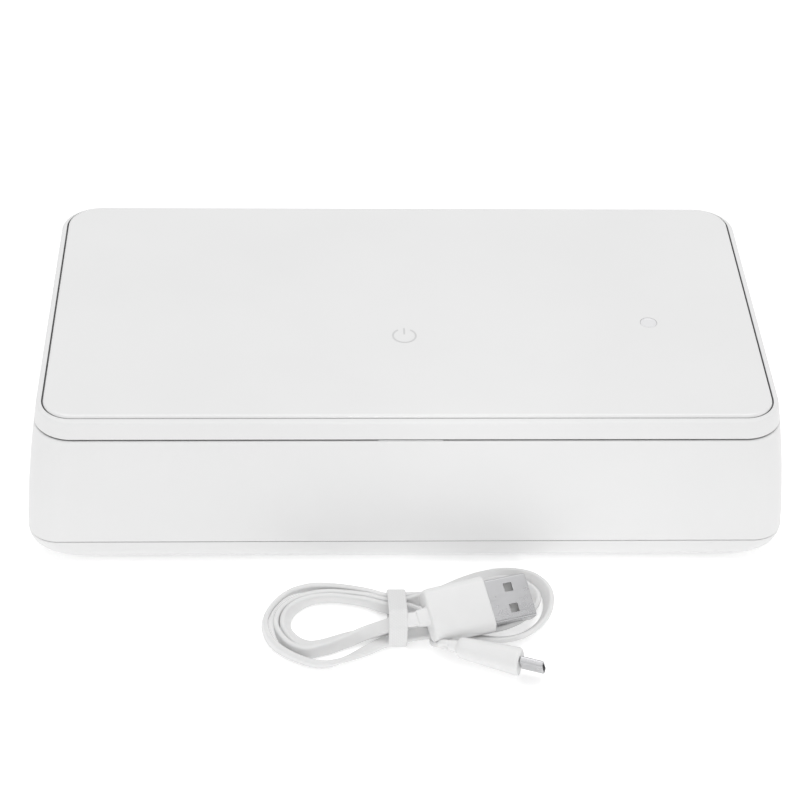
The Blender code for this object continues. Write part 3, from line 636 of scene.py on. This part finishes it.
def chamber_tub():
    flange = TUB_HIGH.z
    under = SHELL_LEDGE + CLEARANCE
    floor = TUB_FLOOR_TOP
    rim_x = PLATE_HALF_X - TUB_HALF_X
    profile = [tub_point(4.6, floor - TUB_WALL, 6.0), tub_point(1.9, floor - TUB_WALL, 8.0, 3.0),
               tub_point(-TUB_WALL, under, 9.0, 0.5), tub_point(-rim_x, under, PLATE_CORNER, 0.15),
               tub_point(-rim_x, flange, PLATE_CORNER, 0.35), tub_point(0.0, flange, 7.8, 1.1),
               tub_point(2.6, floor, 7.0, 3.6), tub_point(8.0, floor, 4.0)]
    rings = size_rings(profile, TUB_HALF_Y - 4.6, steps=6)
    add_piece("chamber_liner", loft_mesh(rings), "chamber_metal", "chamber_tub")


def flat_plate(name, outline, holes, low, high, edge):
    """A plate cut from sheet: a filled outline with holes, its edges rounded."""
    curve = bpy.data.curves.new(name, "CURVE")
    curve.dimensions = "2D"
    curve.fill_mode = "BOTH"
    for points in [outline, *holes]:
        spline = curve.splines.new("POLY")
        spline.points.add(len(points) - 1)
        for place, point in zip(spline.points, points):
            place.co = (point.x * MM, point.y * MM, 0.0, 1.0)
        spline.use_cyclic_u = True
    curve.extrude = ((high - low) / 2 - edge) * MM
    curve.bevel_depth = edge * MM
    curve.bevel_resolution = 2
    curve.offset = -edge * MM
    holder = new_object(name, curve)
    depsgraph = bpy.context.evaluated_depsgraph_get()
    mesh = bpy.data.meshes.new_from_object(holder.evaluated_get(depsgraph))
    bpy.data.objects.remove(holder)
    bm = bmesh.new()
    bm.from_mesh(mesh)
    bmesh.ops.remove_doubles(bm, verts=bm.verts, dist=1e-7)
    bmesh.ops.recalc_face_normals(bm, faces=bm.faces)
    bm.to_mesh(mesh)
    bm.free()
    mesh.transform(Matrix.Translation((0.0, 0.0, (low + high) / 2 * MM)))
    return mesh


def moved_ring(ring, x, y):
    return [point + Vector((x, y, 0.0)) for point in ring]


def tool_rack():
    """The slotted tray for the tools, with rounded slots and four legs."""
    low, high = box_mm("tool_rack")
    plate_low = high.z - 1.0
    slot = rounded_ring(4.0, 10.25, 3.98, 0.0, 8)
    holes = [moved_ring(slot, column * 13.0, side * 12.75) for column in range(-5, 6) for side in (-1, 1)]
    plate = flat_plate("rack", rounded_ring(high.x, high.y, 6.0, 0.0), holes, plate_low, high.z, 0.3)
    legs = [turned_mesh([(1.2, low.z, 0), (1.6, low.z, 0.3), (1.6, plate_low + 0.2, 0)], "Z", (x, y, 0.0))
            for x, y in four_corners(72.0, 28.5)]
    add_piece("instrument_tray", merged([plate] + legs), "steel", "tool_rack")


def soft_boards():
    """Circuit boards and chips inside the housing, each with its edges broken."""
    blocks = (("control_board", "board", 0.15), ("interlock_board", "board", 0.1),
              ("touch_board", "board", 0.1), ("indicator_board", "board", 0.1),
              ("driver_chip", "black_plastic", 0.12), ("hall_sensor", "black_plastic", 0.1))
    for node, finish, edge in blocks:
        low, high = box_mm(node)
        add_piece(f"{node}_detail", box_mesh(low, high, edge), finish, node)
    low, high = box_mm("power_inductor")
    middle = (low + high) / 2
    radius = high.x - middle.x
    profile = [(radius - 1.3, low.z, 0), (radius, low.z + 0.6, 0.4), (radius, high.z - 0.6, 0.4),
               (radius - 1.3, high.z, 0)]
    add_piece("power_inductor_detail", turned_mesh(profile, "Z", (middle.x, middle.y, 0.0)), "black_plastic",
              "power_inductor")


def usb_socket():
    """The inlet's folded sleeve and its tongue with five contacts."""
    low, high = box_mm("usb_socket_shell")
    half_x, half_z = high.x, (high.z - low.z) / 2
    middle_z = low.z + half_z
    levels = ((half_x, half_z, low.y), (half_x, half_z, high.y - 0.15), (half_x - 0.1, half_z - 0.1, high.y),
              (half_x - 0.2, half_z - 0.2, high.y), (half_x - 0.3, half_z - 0.3, high.y - 0.15),
              (half_x - 0.3, half_z - 0.3, low.y + 0.5))
    rings = [[Vector((p.x, y, middle_z - p.y)) for p in rounded_ring(wide, tall, 0.6, 0.0, 6)]
             for wide, tall, y in levels]
    add_piece("inlet_sleeve", loft_mesh(rings), "plug_metal", "usb_socket_shell")
    low, high = box_mm("usb_socket_tongue")
    add_piece("inlet_tongue", box_mesh(low, high, 0.1), "black_plastic", "usb_socket_tongue")
    contacts = [box_mesh((x - 0.14, low.y + 0.3, low.z - 0.05), (x + 0.14, high.y - 0.25, low.z + 0.05))
                for x in (-1.3, -0.65, 0.0, 0.65, 1.3)]
    add_piece("inlet_contacts", merged(contacts), "gold", body="base")


def magnets():
    for node in ("base_magnet_left", "base_magnet_right", "lid_magnet_left", "lid_magnet_right"):
        low, high = box_mm(node)
        add_piece(f"{node}_bar", box_mesh(low, high, 0.2), "magnet", node)
    low, high = box_mm("interlock_magnet")
    profile = [(0.4, low.z, 0), (2.5, low.z, 0.25), (2.5, high.z, 0.2), (0.4, high.z, 0)]
    add_piece("interlock_magnet_disc", turned_mesh(profile, "Z", (0.0, MAGNET_Y, 0.0)), "magnet",
              "interlock_magnet")


def hinge_pins():
    for word in ("left", "right"):
        low, high = box_mm(f"hinge_pin_{word}")
        profile = [(0.3, low.x, 0), (0.9, low.x, 0.2), (0.9, high.x, 0.2), (0.3, high.x, 0)]
        add_piece(f"pin_{word}", turned_mesh(profile, "X", (0.0, HINGE_Y, HINGE_Z), 24), "steel",
                  f"hinge_pin_{word}")


def knuckles():
    tools = soft_barrels([KNUCKLE_SPAN])
    for side in (-1, 1):
        low, high = mirrored(KNUCKLE_SPAN, side)
        tools.append(box_mesh((low, 49.6, RIM_BOTTOM + 0.2), (high, HINGE_Y, RIM_BOTTOM + 2.7)))
    return tools


def nearer_front(rings):
    """Draw the rim's inner wall closer to the plate along its front edge."""
    for ring in rings:
        depth = -min(point.y for point in ring) - PLATE_HALF_Y
        if 0.0 < depth < PLATE_GAP + 0.1:
            for point in ring:
                if point.y < 0.0:
                    point.y += depth - FRONT_GAP
    return rings


def lid_frame():
    profile = [(-4.0, LID_FLOOR_BOTTOM, 5.0, 0.0), (-3.8, RIM_BOTTOM, 5.2, 0.25)]
    profile += [wall_point(RIM_BOTTOM, 0.0, 0.3)] + [wall_point(z) for z in (42.0, 43.2, 44.4)]
    profile += [wall_point(RIM_TOP, 0.0, 0.75), inner_point(PLATE_GAP, RIM_TOP, 0.15)]
    profile += [inner_point(PLATE_GAP, PLATE_LEDGE, 0.1), inner_point(-2.0, PLATE_LEDGE, 0.2)]
    profile += [inner_point(-2.0, LID_FLOOR_TOP)]
    mesh = loft_mesh(nearer_front(box_rings(profile, False)))
    clear_span = (LUG_SPANS[0][0] - BARREL_CLEARANCE, LUG_SPANS[1][1] + BARREL_CLEARANCE)
    mesh = cut(mesh, hinge_barrels([clear_span], BARREL_RADIUS + BARREL_CLEARANCE))
    bosses = [cylinder_z(x, y, 3.0, 40.1, LID_FLOOR_TOP - 0.4) for x, y in four_corners(*PANEL_SCREW_AT)]
    mesh = join(mesh, knuckles() + bosses)
    tools = hinge_barrels([(LUG_SPANS[0][0], LUG_SPANS[1][1])], PIN_BORE)
    tools += [magnet_pocket(x, RIM_BOTTOM - 1, 43.3) for x in (-MAGNET_X, MAGNET_X)]
    tools.append(cylinder_z(0.0, MAGNET_Y, 2.9, RIM_BOTTOM - 1, 43.1))
    add_piece("lid_rim", cut(mesh, tools), "housing", "lid_frame")


def top_plate():
    low, high = box_mm("indicator_lens")
    middle = (low + high) / 2
    profile = [inner_point(-6.0, PLATE_UNDERSIDE), inner_point(0.0, PLATE_UNDERSIDE, 0.2),
               inner_point(0.0, HEIGHT, 1.0), inner_point(-6.0, HEIGHT)]
    mesh = loft_mesh(box_rings(profile, False, 6))
    hole = cylinder_z(middle.x, middle.y, high.x - middle.x + 0.06, PLATE_UNDERSIDE - 1, HEIGHT + 1, 48)
    add_piece("lid_plate", cut(mesh, [hole]), "plate", "top_plate")


def indicator():
    """The status light's lens: a shallow dish with a fine lip."""
    low, high = box_mm("indicator_lens")
    middle = (low + high) / 2
    radius = high.x - middle.x
    profile = [(radius, low.z, 0), (radius, high.z, 0.08), (radius - 0.3, high.z, 0.1),
               (radius - 0.55, high.z - 0.12, 0.1), (0.3, high.z - 0.08, 0)]
    mesh = turned_mesh(profile, "Z", (middle.x, middle.y, 0.0), 48)
    add_piece("status_lens", mesh, "lens", "indicator_lens", weighted=False)


def power_mark():
    """The generic power symbol printed over the touch key: an open ring and a short bar."""
    radius, stroke, gap = 3.15, 0.5, 32.0
    low, high = HEIGHT - 0.1, HEIGHT + 0.02
    angles = [math.radians(90 + gap + (360 - 2 * gap) * i / 40) for i in range(41)]
    arc = [Vector((math.cos(a), math.sin(a), 0)) for a in angles]
    outer = [point * (radius + stroke / 2) for point in arc]
    inner = [point * (radius - stroke / 2) for point in reversed(arc)]
    centre = POWER_KEY_AT.to_3d()
    ring = [[point + centre + Vector((0, 0, z)) for point in outer + inner] for z in (low, high)]
    bar = rounded_ring(stroke / 2, 1.5, stroke / 2.2, 0.0, 4)
    bar = [[point + centre + Vector((0, 2.1, z)) for point in bar] for z in (low, high)]
    add_piece("power_symbol", merged([loft_mesh(ring), loft_mesh(bar)]), "print", body="lid", weighted=False)


def lid_panel():
    """The bright reflector under the lid, with a rolled edge and a window under each row of lamps."""
    depth = PANEL_HIGH.x - PANEL_HIGH.y
    floor, top = PANEL_LOW.z, PANEL_HIGH.z
    profile = [(70.0, floor, 4.0, 0.0), (87.6, floor, 6.0, 1.1), (88.0, top, 6.4, 0.2), (86.8, top, 5.2, 0.2),
               (86.7, PANEL_FLOOR_TOP, 5.0, 0.6), (70.0, PANEL_FLOOR_TOP, 3.0, 0.0)]
    rings = size_rings(profile, 70.0 - depth, steps=5)
    tools = []
    for y in LED_ROWS_Y:
        levels = (floor - 1, PANEL_FLOOR_TOP + 0.5)
        tools.append(loft_mesh([moved_ring(rounded_ring(70.0, 3.5, 3.45, z, 10), 0.0, y) for z in levels]))
    tools += [cylinder_z(x, y, 1.3, floor - 1, PANEL_FLOOR_TOP + 1) for x, y in four_corners(*PANEL_SCREW_AT)]
    mesh = cut(loft_mesh(rings), tools)
    add_piece("reflector", mesh, "chamber_metal", "lid_inner_panel")


def lamps():
    """Lamp boards with pads, and LEDs with a ceramic body and a quartz window."""
    for word, y in zip(("front", "rear"), LED_ROWS_Y):
        low, high = box_mm(f"uvc_board_{word}")
        add_piece(f"lamp_board_{word}", box_mesh(low, high, 0.12), "lamp_board", f"uvc_board_{word}")
        pads = []
        for x in (column + dx for column in LED_COLUMNS_X for dx in (-2.6, 2.6, -9.0, 9.0)):
            pads.append(box_mesh((x - 0.5, y - 0.9, low.z - 0.05), (x + 0.5, y + 0.9, low.z + 0.05)))
        add_piece(f"lamp_pads_{word}", merged(pads), "gold", body="lid")
    for number in range(1, 9):
        low, high = box_mm(f"uvc_led_{number}")
        middle = (low + high) / 2
        half = high.x - middle.x
        levels = ((half - 0.75, 0.25, low.z + 0.28), (half - 0.62, 0.3, low.z + 0.12),
                  (half - 0.45, 0.35, low.z + 0.12), (half - 0.06, 0.35, low.z + 0.22),
                  (half, 0.35, low.z + 0.4), (half, 0.35, high.z))
        rings = [moved_ring(rounded_ring(size, size, radius, z, 5), middle.x, middle.y)
                 for size, radius, z in levels]
        add_piece(f"led_body_{number}", loft_mesh(rings), "led", f"uvc_led_{number}")
        dome = turned_mesh([(0.25, low.z + 0.02, 0), (0.8, low.z + 0.1, 0.3), (1.0, low.z + 0.3, 0)], "Z",
                           (middle.x, middle.y, 0.0), 20)
        add_piece(f"led_window_{number}", dome, "led_window", body="lid")


def light_seal():
    """A soft ring with a rounded lip that closes on the tub's flange."""
    low, high = box_mm("light_seal")
    inner = high.x - 2.0
    profile = [(high.x, low.z, 6.0, 0.6), (high.x, high.z, 6.0, 0.2), (inner, high.z, 4.8, 0.2),
               (inner, low.z, 4.8, 0.6)]
    mesh = loft_mesh(size_rings(profile, high.y, True, 5), closed=True)
    add_piece("lid_seal", mesh, "seal", "light_seal")


# ---- USB lead ----
def plug_placement(at, turn):
    """From a plug's own frame (X across, Y through its thickness, Z along it) to the world."""
    heading, lift, roll = (math.radians(angle) for angle in turn)
    turned = Matrix.Rotation(heading, 4, "Z") @ Matrix.Rotation(-lift, 4, "Y") @ Matrix.Rotation(roll, 4, "X")
    along_z = Matrix(((0, 0, 1, 0), (1, 0, 0, 0), (0, 1, 0, 0), (0, 0, 0, 1)))
    return Matrix.Translation(Vector(at) * MM) @ turned @ along_z


USB_A_PLACE = plug_placement(USB_A_AT, USB_A_TURN)
MICRO_PLACE = plug_placement(MICRO_AT, MICRO_TURN)


def placed(mesh, placement):
    mesh.transform(placement)
    return mesh


# The flat cable: its width, its thickness and the radius of its edges
CABLE_WIDTH = 3.8
CABLE_THICKNESS = 1.5
CABLE_EDGE = 0.6
CABLE_STEPS = 6              # sections between two points of the route
BOOT_GRIP = 1.6              # how far the cable reaches into each boot

# The route, from the micro-USB plug's boot to the USB-A plug's boot. Each point is x, y, the height of its
# lower edge, and its lean: 0 stands on edge, 90 lies flat, and a positive lean tips its top out of the loop.
ROUTE = (
    # under the USB-A plug to the rear of the tie
    (8.1, -92.5, 2.6, -42), (7.1, -91.3, 1.8, -60), (6.6, -89.4, 1.1, -76), (6.5, -86.8, 1.5, -88),
    (6.3, -83.8, 1.7, -88), (5.4, -80.4, 1.7, -84), (3.2, -77.6, 1.5, -60), (-0.6, -76.6, 1.0, -15),
    (-6.0, -76.3, 0.9, 0),
    # inner turn of the left loop
    (-7.4, -75.8, 0.8, -2), (-10.9, -73.9, 0.4, -10), (-16.1, -72.3, 0.1, -18), (-21.3, -71.6, 0.1, -18),
    (-26.5, -72.5, 0.1, -10), (-30.6, -75.3, 0.1, 12), (-32.7, -78.9, 0.1, 28), (-33.0, -82.2, 0.1, 38),
    (-31.6, -85.7, 0.1, 52), (-29.1, -88.2, 0.1, 72), (-26.5, -89.0, 0.1, 84), (-23.9, -88.6, 0.1, 88),
    (-21.3, -87.7, 0.1, 88), (-18.7, -86.6, 0.1, 88), (-16.1, -85.6, 0.1, 88), (-13.5, -84.8, 0.1, 88),
    (-10.0, -84.0, 0.3, 88), (-5.6, -83.6, 0.9, 86), (-2.4, -83.1, 0.9, 86),
    # inner turn of the right loop
    (1.0, -81.8, 0.6, 88), (4.5, -80.7, 0.2, 88), (9.0, -80.7, 0.1, 88), (15.0, -82.2, 0.1, 75),
    (21.4, -83.9, 0.1, 50), (27.4, -81.9, 0.1, 40), (32.0, -77.3, 0.1, 36), (33.7, -71.8, 0.1, 38),
    (30.6, -67.2, 0.1, 36), (25.6, -65.6, 0.1, 40), (19.4, -66.8, 0.1, 70), (13.4, -69.0, 0.1, 88),
    (8.0, -70.9, 0.1, 80), (3.2, -72.2, 0.3, 40), (-1.2, -72.8, 0.9, 5), (-6.0, -72.9, 0.9, 0),
    # outer turn of the left loop
    (-10.9, -70.7, 0.5, 2), (-16.1, -68.8, 0.1, -4), (-21.3, -67.8, 0.1, -14), (-26.5, -67.5, 0.1, -28),
    (-31.6, -69.1, 0.1, -36), (-36.2, -74.3, 0.1, -28), (-38.4, -81.5, 0.1, -9), (-36.4, -88.6, 0.1, 6),
    (-30.4, -94.2, 0.1, 24), (-23.6, -96.8, 0.1, 30), (-16.2, -94.2, 0.1, 50), (-11.4, -90.8, 0.2, 74),
    (-7.4, -88.3, 0.6, 82), (-3.6, -87.0, 0.9, 88),
    # outer turn of the right loop, whose rear return crosses over the inner one
    (-0.5, -85.9, 0.8, 88), (3.6, -84.6, 0.4, 88), (8.0, -84.6, 0.1, 88), (14.0, -86.0, 0.1, 76),
    (19.0, -87.3, 0.1, 56), (23.4, -87.8, 0.1, 52), (29.2, -86.3, 0.1, 46), (34.4, -81.7, 0.1, 36),
    (37.0, -75.2, 0.1, 34), (36.8, -69.2, 0.1, 34), (33.4, -64.4, 0.1, 32), (27.2, -62.6, 0.1, 40),
    (20.4, -63.9, 0.8, 66), (14.6, -66.6, 1.7, 84), (9.6, -69.7, 1.8, 84), (5.2, -72.6, 1.6, 60),
    (1.6, -74.0, 1.1, 20), (-1.8, -74.5, 0.9, 0), (-6.0, -74.5, 0.9, 0),
    # middle turn of the left loop, then up over the bundle to the USB-A plug
    (-10.9, -72.3, 0.5, -4), (-16.1, -70.7, 0.1, -12), (-21.3, -70.2, 0.1, -12), (-26.5, -71.1, 0.1, -6),
    (-31.2, -73.6, 0.1, 4), (-34.4, -77.6, 0.1, 8), (-35.4, -82.2, 0.1, 8), (-34.0, -87.0, 0.1, 4),
    (-30.8, -90.9, 0.1, 0), (-27.0, -92.3, 0.1, -4), (-23.9, -91.4, 0.1, -8), (-21.3, -90.5, 0.1, -12),
    (-18.7, -89.1, 0.1, -18), (-16.1, -87.9, 0.2, -24), (-13.5, -86.7, 0.7, -30), (-10.9, -86.3, 1.7, -38),
    (-8.3, -86.5, 3.2, -46), (-6.2, -86.9, 4.7, -52), (-2.8, -87.4, 6.9, -58),
)
BOOT_LEANS = (-32.0, -59.0)  # of the micro-USB plug and of the USB-A plug

# Sections of the plugs' soft bodies: half width, half thickness, place along the plug
USB_A_SECTIONS = (
    (1.95, 1.0, -19.9), (2.1, 1.15, -19.75), (2.3, 1.35, -18.4), (2.45, 1.5, -17.3), (2.6, 1.62, -16.95),
    (6.4, 2.4, -16.78), (6.65, 2.55, -16.68), (6.85, 2.7, -16.4), (7.0, 2.8, -15.9), (7.1, 2.88, -15.2),
    (7.16, 2.93, -13.5), (7.3, 3.0, -8.0), (7.45, 3.1, -4.0), (7.6, 3.19, -0.75), (7.58, 3.16, -0.35),
    (7.52, 3.06, -0.1), (7.4, 2.9, 0.0),
)
MICRO_SECTIONS = (
    (2.0, 1.0, -19.2), (2.08, 1.1, -19.05), (2.12, 1.2, -18.2), (2.18, 1.35, -17.0), (2.6, 1.7, -16.75),
    (3.05, 2.05, -16.5), (3.35, 2.3, -16.0), (3.58, 2.48, -15.0), (3.78, 2.6, -12.5), (4.24, 2.9, -7.0),
    (4.69, 3.19, -1.3), (4.67, 3.16, -0.5), (4.6, 3.08, -0.15), (4.5, 3.0, 0.0),
)


def cable_keys():
    """The route's points at the height of the cable's middle, from one boot to the other."""
    keys = []
    for x, y, low, lean in ROUTE:
        angle = math.radians(lean)
        rise = abs(math.cos(angle)) * CABLE_WIDTH / 2 + abs(math.sin(angle)) * CABLE_THICKNESS / 2
        keys.append(Vector((x, y, low + rise, lean)))
    ends = []
    for placement, sections, lean in ((MICRO_PLACE, MICRO_SECTIONS, BOOT_LEANS[0]),
                                      (USB_A_PLACE, USB_A_SECTIONS, BOOT_LEANS[1])):
        for along in (BOOT_GRIP, -1.0):
            point = placement @ Vector((0.0, 0.0, (sections[0][2] + along) * MM)) / MM
            ends.append(Vector((*point, lean)))
    return ends[:2] + keys + ends[:1:-1]


def smooth_line(keys, steps):
    """A smooth line through points that are unevenly spaced."""
    gaps = [(after - before).to_3d().length for before, after in zip(keys, keys[1:])]
    slopes = [(after - before) / gap for before, after, gap in zip(keys, keys[1:], gaps)]
    tangents = [slopes[0]]
    for i in range(1, len(slopes)):
        share = gaps[i - 1] / (gaps[i - 1] + gaps[i])
        tangents.append(slopes[i - 1].lerp(slopes[i], share))
    tangents.append(slopes[-1])
    line = []
    for i, gap in enumerate(gaps):
        for step in range(steps):
            t = step / steps
            line.append(keys[i] * (2 * t**3 - 3 * t**2 + 1) + tangents[i] * gap * (t**3 - 2 * t**2 + t)
                        + keys[i + 1] * (3 * t**2 - 2 * t**3) + tangents[i + 1] * gap * (t**3 - t**2))
    return line + [keys[-1]]


def flat_cable(line):
    """Sweep the cable's flat section along its line, turned by the line's lean."""
    section = rounded_ring(CABLE_WIDTH / 2, CABLE_THICKNESS / 2, CABLE_EDGE, 0.0, 4)
    up = Vector((0.0, 0.0, 1.0))
    rings = []
    for i, key in enumerate(line):
        travel = (line[min(i + 1, len(line) - 1)] - line[max(i - 1, 0)]).to_3d().normalized()
        upright = (up - travel * up.dot(travel)).normalized()
        outward = travel.cross(upright)
        lean = math.radians(key.w)
        wide = upright * math.cos(lean) + outward * math.sin(lean)
        thick = wide.cross(travel)
        rings.append([key.to_3d() + wide * point.x + thick * point.y for point in section])
    return loft_mesh(rings)


def plug_loft(sections):
    return loft_mesh([rounded_ring(wide, thick, 0.76 * min(wide, thick), along, 8)
                      for wide, thick, along in sections])


def sleeve(half_w, half_t, wall, start, end, radius):
    """A plug's metal shell: open at its mouth, where its edge is rounded inwards, and closed at its start."""
    levels = ((half_w, half_t, radius, start), (half_w, half_t, radius, end - 0.25),
              (half_w - 0.07, half_t - 0.07, radius, end - 0.07), (half_w - 0.16, half_t - 0.16, radius, end),
              (half_w - wall, half_t - wall, max(radius - wall, 0.2), end - 0.08),
              (half_w - wall, half_t - wall, max(radius - wall, 0.2), start + wall))
    return loft_mesh([rounded_ring(wide, thick, corner, along, 6) for wide, thick, corner, along in levels])


def usb_a_plug():
    body = add_piece("usb_a_body", placed(plug_loft(USB_A_SECTIONS), USB_A_PLACE), "cable_jacket",
                     "usb_a_overmold", weighted=False)
    holes = [box_mesh((x - 1.2, 1.0, 5.2), (x + 1.2, 3.0, 7.6), 0.12) for x in (-2.9, 2.9)]
    seam = box_mesh((-0.06, 2.17, 0.2), (0.06, 3.0, 2.6))
    shell = cut(sleeve(6.0, 2.25, 0.35, 0.3, 12.1, 0.6), holes + [seam])
    shell = add_piece("usb_a_sleeve", placed(shell, USB_A_PLACE), "plug_metal", "usb_a_shell")
    insert = box_mesh((-5.3, -1.6, 1.0), (5.3, 0.2, 11.6), 0.15)
    insert = add_piece("usb_a_tongue", placed(insert, USB_A_PLACE), "cable_jacket", "usb_a_insert")
    strips = [box_mesh((x - 0.55, 0.15, 8.4), (x + 0.55, 0.26, 11.2), 0.03) for x in (-3.5, -1.1, 1.1, 3.5)]
    contacts = add_piece("usb_a_contacts", placed(merged(strips), USB_A_PLACE), "gold", body="base")
    return [body, shell, insert, contacts]


def micro_usb_plug():
    body = add_piece("micro_usb_body", placed(plug_loft(MICRO_SECTIONS), MICRO_PLACE), "cable_jacket",
                     "micro_usb_overmold", weighted=False)
    shell = add_piece("micro_usb_sleeve", placed(sleeve(3.4, 0.95, 0.3, 0.3, 6.3, 0.5), MICRO_PLACE),
                      "plug_metal", "micro_usb_shell")
    tongue = box_mesh((-2.7, -0.35, 0.6), (2.7, 0.0, 5.9), 0.08)
    tongue = add_piece("micro_usb_tongue", placed(tongue, MICRO_PLACE), "black_plastic", body="base")
    return [body, shell, tongue]


def band_outline(radius, steps=8):
    """A line round the tie's bends at the given radius."""
    outline = []
    count = len(TIE_CORNERS)
    for i, corner in enumerate(TIE_CORNERS):
        before, after = TIE_CORNERS[i - 1], TIE_CORNERS[(i + 1) % count]
        start = math.atan2(corner[1] - before[1], corner[0] - before[0]) - math.pi / 2
        turn = math.atan2(after[1] - corner[1], after[0] - corner[0]) - math.pi / 2 - start
        for step in range(steps + 1):
            angle = start + turn % math.tau * step / steps
            outline.append((corner[0] + radius * math.cos(angle), corner[1] + radius * math.sin(angle)))
    return outline


def cable_tie():
    """The soft band round the bundle's waist, its edges rounded."""
    low, high = box_mm("cable_tie")
    edge = 0.25
    outer, inner = TIE_BEND, TIE_BEND - TIE_WALL
    profile = ((outer - edge, low.x), (outer, low.x + edge), (outer, high.x - edge), (outer - edge, high.x),
               (inner + edge, high.x), (inner, high.x - edge), (inner, low.x + edge), (inner + edge, low.x))
    rings = [[Vector((x, y, z)) for y, z in band_outline(radius)] for radius, x in profile]
    return add_piece("band", loft_mesh(rings, closed=True), "tie", "cable_tie", angle=50.0)


def usb_lead():
    line = smooth_line(cable_keys(), CABLE_STEPS)
    cable = add_piece("usb_cable", flat_cable(line), "cable_jacket", "usb_cable_hank", angle=60.0,
                      weighted=False)
    with_pieces = usb_a_plug() + micro_usb_plug() + [cable_tie()]


# ---- Studio ----
FLOOR_WHITE = (0.95, 0.95, 0.95)
FLOOR_GLOW = 0.29            # keeps the ground as white as the photo's cut-out
WORLD_STRENGTH = 0.66
# Name, place, size and power of each lamp
LAMPS = (
    ("overhead_lamp", (0.0, 0.1, 1.5), (1.6, 1.2), 8.8),
    ("front_lamp", (-0.3, -1.6, 0.9), (1.4, 1.0), 2.6),
    ("right_lamp", (1.4, -0.4, 0.8), (0.9, 0.9), 0.7),
)
LAMPS_AIM = (0.0, -0.03, 0.02)

# A narrow soft lamp that lifts the wall behind the lead, where the lead keeps the floor's light off it
FILL_PLACE = (0.03, -0.85, 0.4)
FILL_AIM = (0.017, -0.057, 0.012)
FILL_POWER = 4.0
FILL_ANGLE = 7.5             # of its cone, in degrees

EYE = (-27.21, -519.52, 415.01)
LOOK = (0.04075125, 0.79059076, -0.61098738)
UP = (0.000763189, 0.61147053, 0.79126684)
LENS = 102.29


def floor():
    """A wide pale sheet under everything."""
    mesh = bpy.data.meshes.new("floor")
    reach = 4.0
    mesh.from_pydata([(-reach, -reach, 0), (reach, -reach, 0), (reach, reach, 0), (-reach, reach, 0)], [],
                     [(0, 1, 2, 3)])
    n = Nodes("pale_sheet", FLOOR_WHITE, 0.7)
    grain = n.noise(40.0, 3.0)
    n.link(n.colors(grain, scaled(FLOOR_WHITE, 0.995), FLOOR_WHITE), "Base Color")
    n.link(n.ramp(grain, 0.66, 0.74), "Roughness")
    n.set("Specular IOR Level", 0.1)
    n.set("Emission Color", (1.0, 1.0, 1.0, 1.0))
    n.set("Emission Strength", FLOOR_GLOW)
    mesh.materials.append(n.material)
    new_object("floor", mesh)


def aimed_lamp(light, power, place, target):
    light.energy = power
    lamp = new_object(light.name, light)
    lamp.location = place
    lamp.rotation_euler = (Vector(target) - lamp.location).to_track_quat("-Z", "Y").to_euler()


def studio():
    """Even white surroundings, with large soft lamps round the object and a small fill at its front."""
    world = bpy.data.worlds.new("studio")
    world.use_nodes = True
    background = world.node_tree.nodes["Background"]
    background.inputs["Color"].default_value = (1.0, 1.0, 1.0, 1.0)
    background.inputs["Strength"].default_value = WORLD_STRENGTH
    bpy.context.scene.world = world
    for name, place, size, power in LAMPS:
        light = bpy.data.lights.new(name, "AREA")
        light.shape = "RECTANGLE"
        light.size, light.size_y = size
        aimed_lamp(light, power, place, LAMPS_AIM)
    light = bpy.data.lights.new("fill_lamp", "SPOT")
    light.spot_size = math.radians(FILL_ANGLE)
    light.spot_blend = 1.0
    light.shadow_soft_size = 0.04
    aimed_lamp(light, FILL_POWER, FILL_PLACE, FILL_AIM)


def camera():
    data = bpy.data.cameras.new("camera")
    data.sensor_width = 36.0
    data.lens = LENS
    data.clip_start = 0.01
    data.clip_end = 20.0
    holder = new_object("camera", data)
    forward, up = Vector(LOOK).normalized(), Vector(UP)
    right = forward.cross(up).normalized()
    up = right.cross(forward)
    turned = Matrix((right, up, -forward)).transposed().to_4x4()
    holder.matrix_world = Matrix.Translation(Vector(EYE) * MM) @ turned
    bpy.context.scene.camera = holder


floor()
base_shell()
bottom_cover()
feet()
screws()
chamber_tub()
tool_rack()
soft_boards()
usb_socket()
magnets()
hinge_pins()
lid_frame()
top_plate()
indicator()
power_mark()
lid_panel()
lamps()
light_seal()
usb_lead()
studio()
camera()
bpy.context.scene.view_settings.view_transform = "Standard"
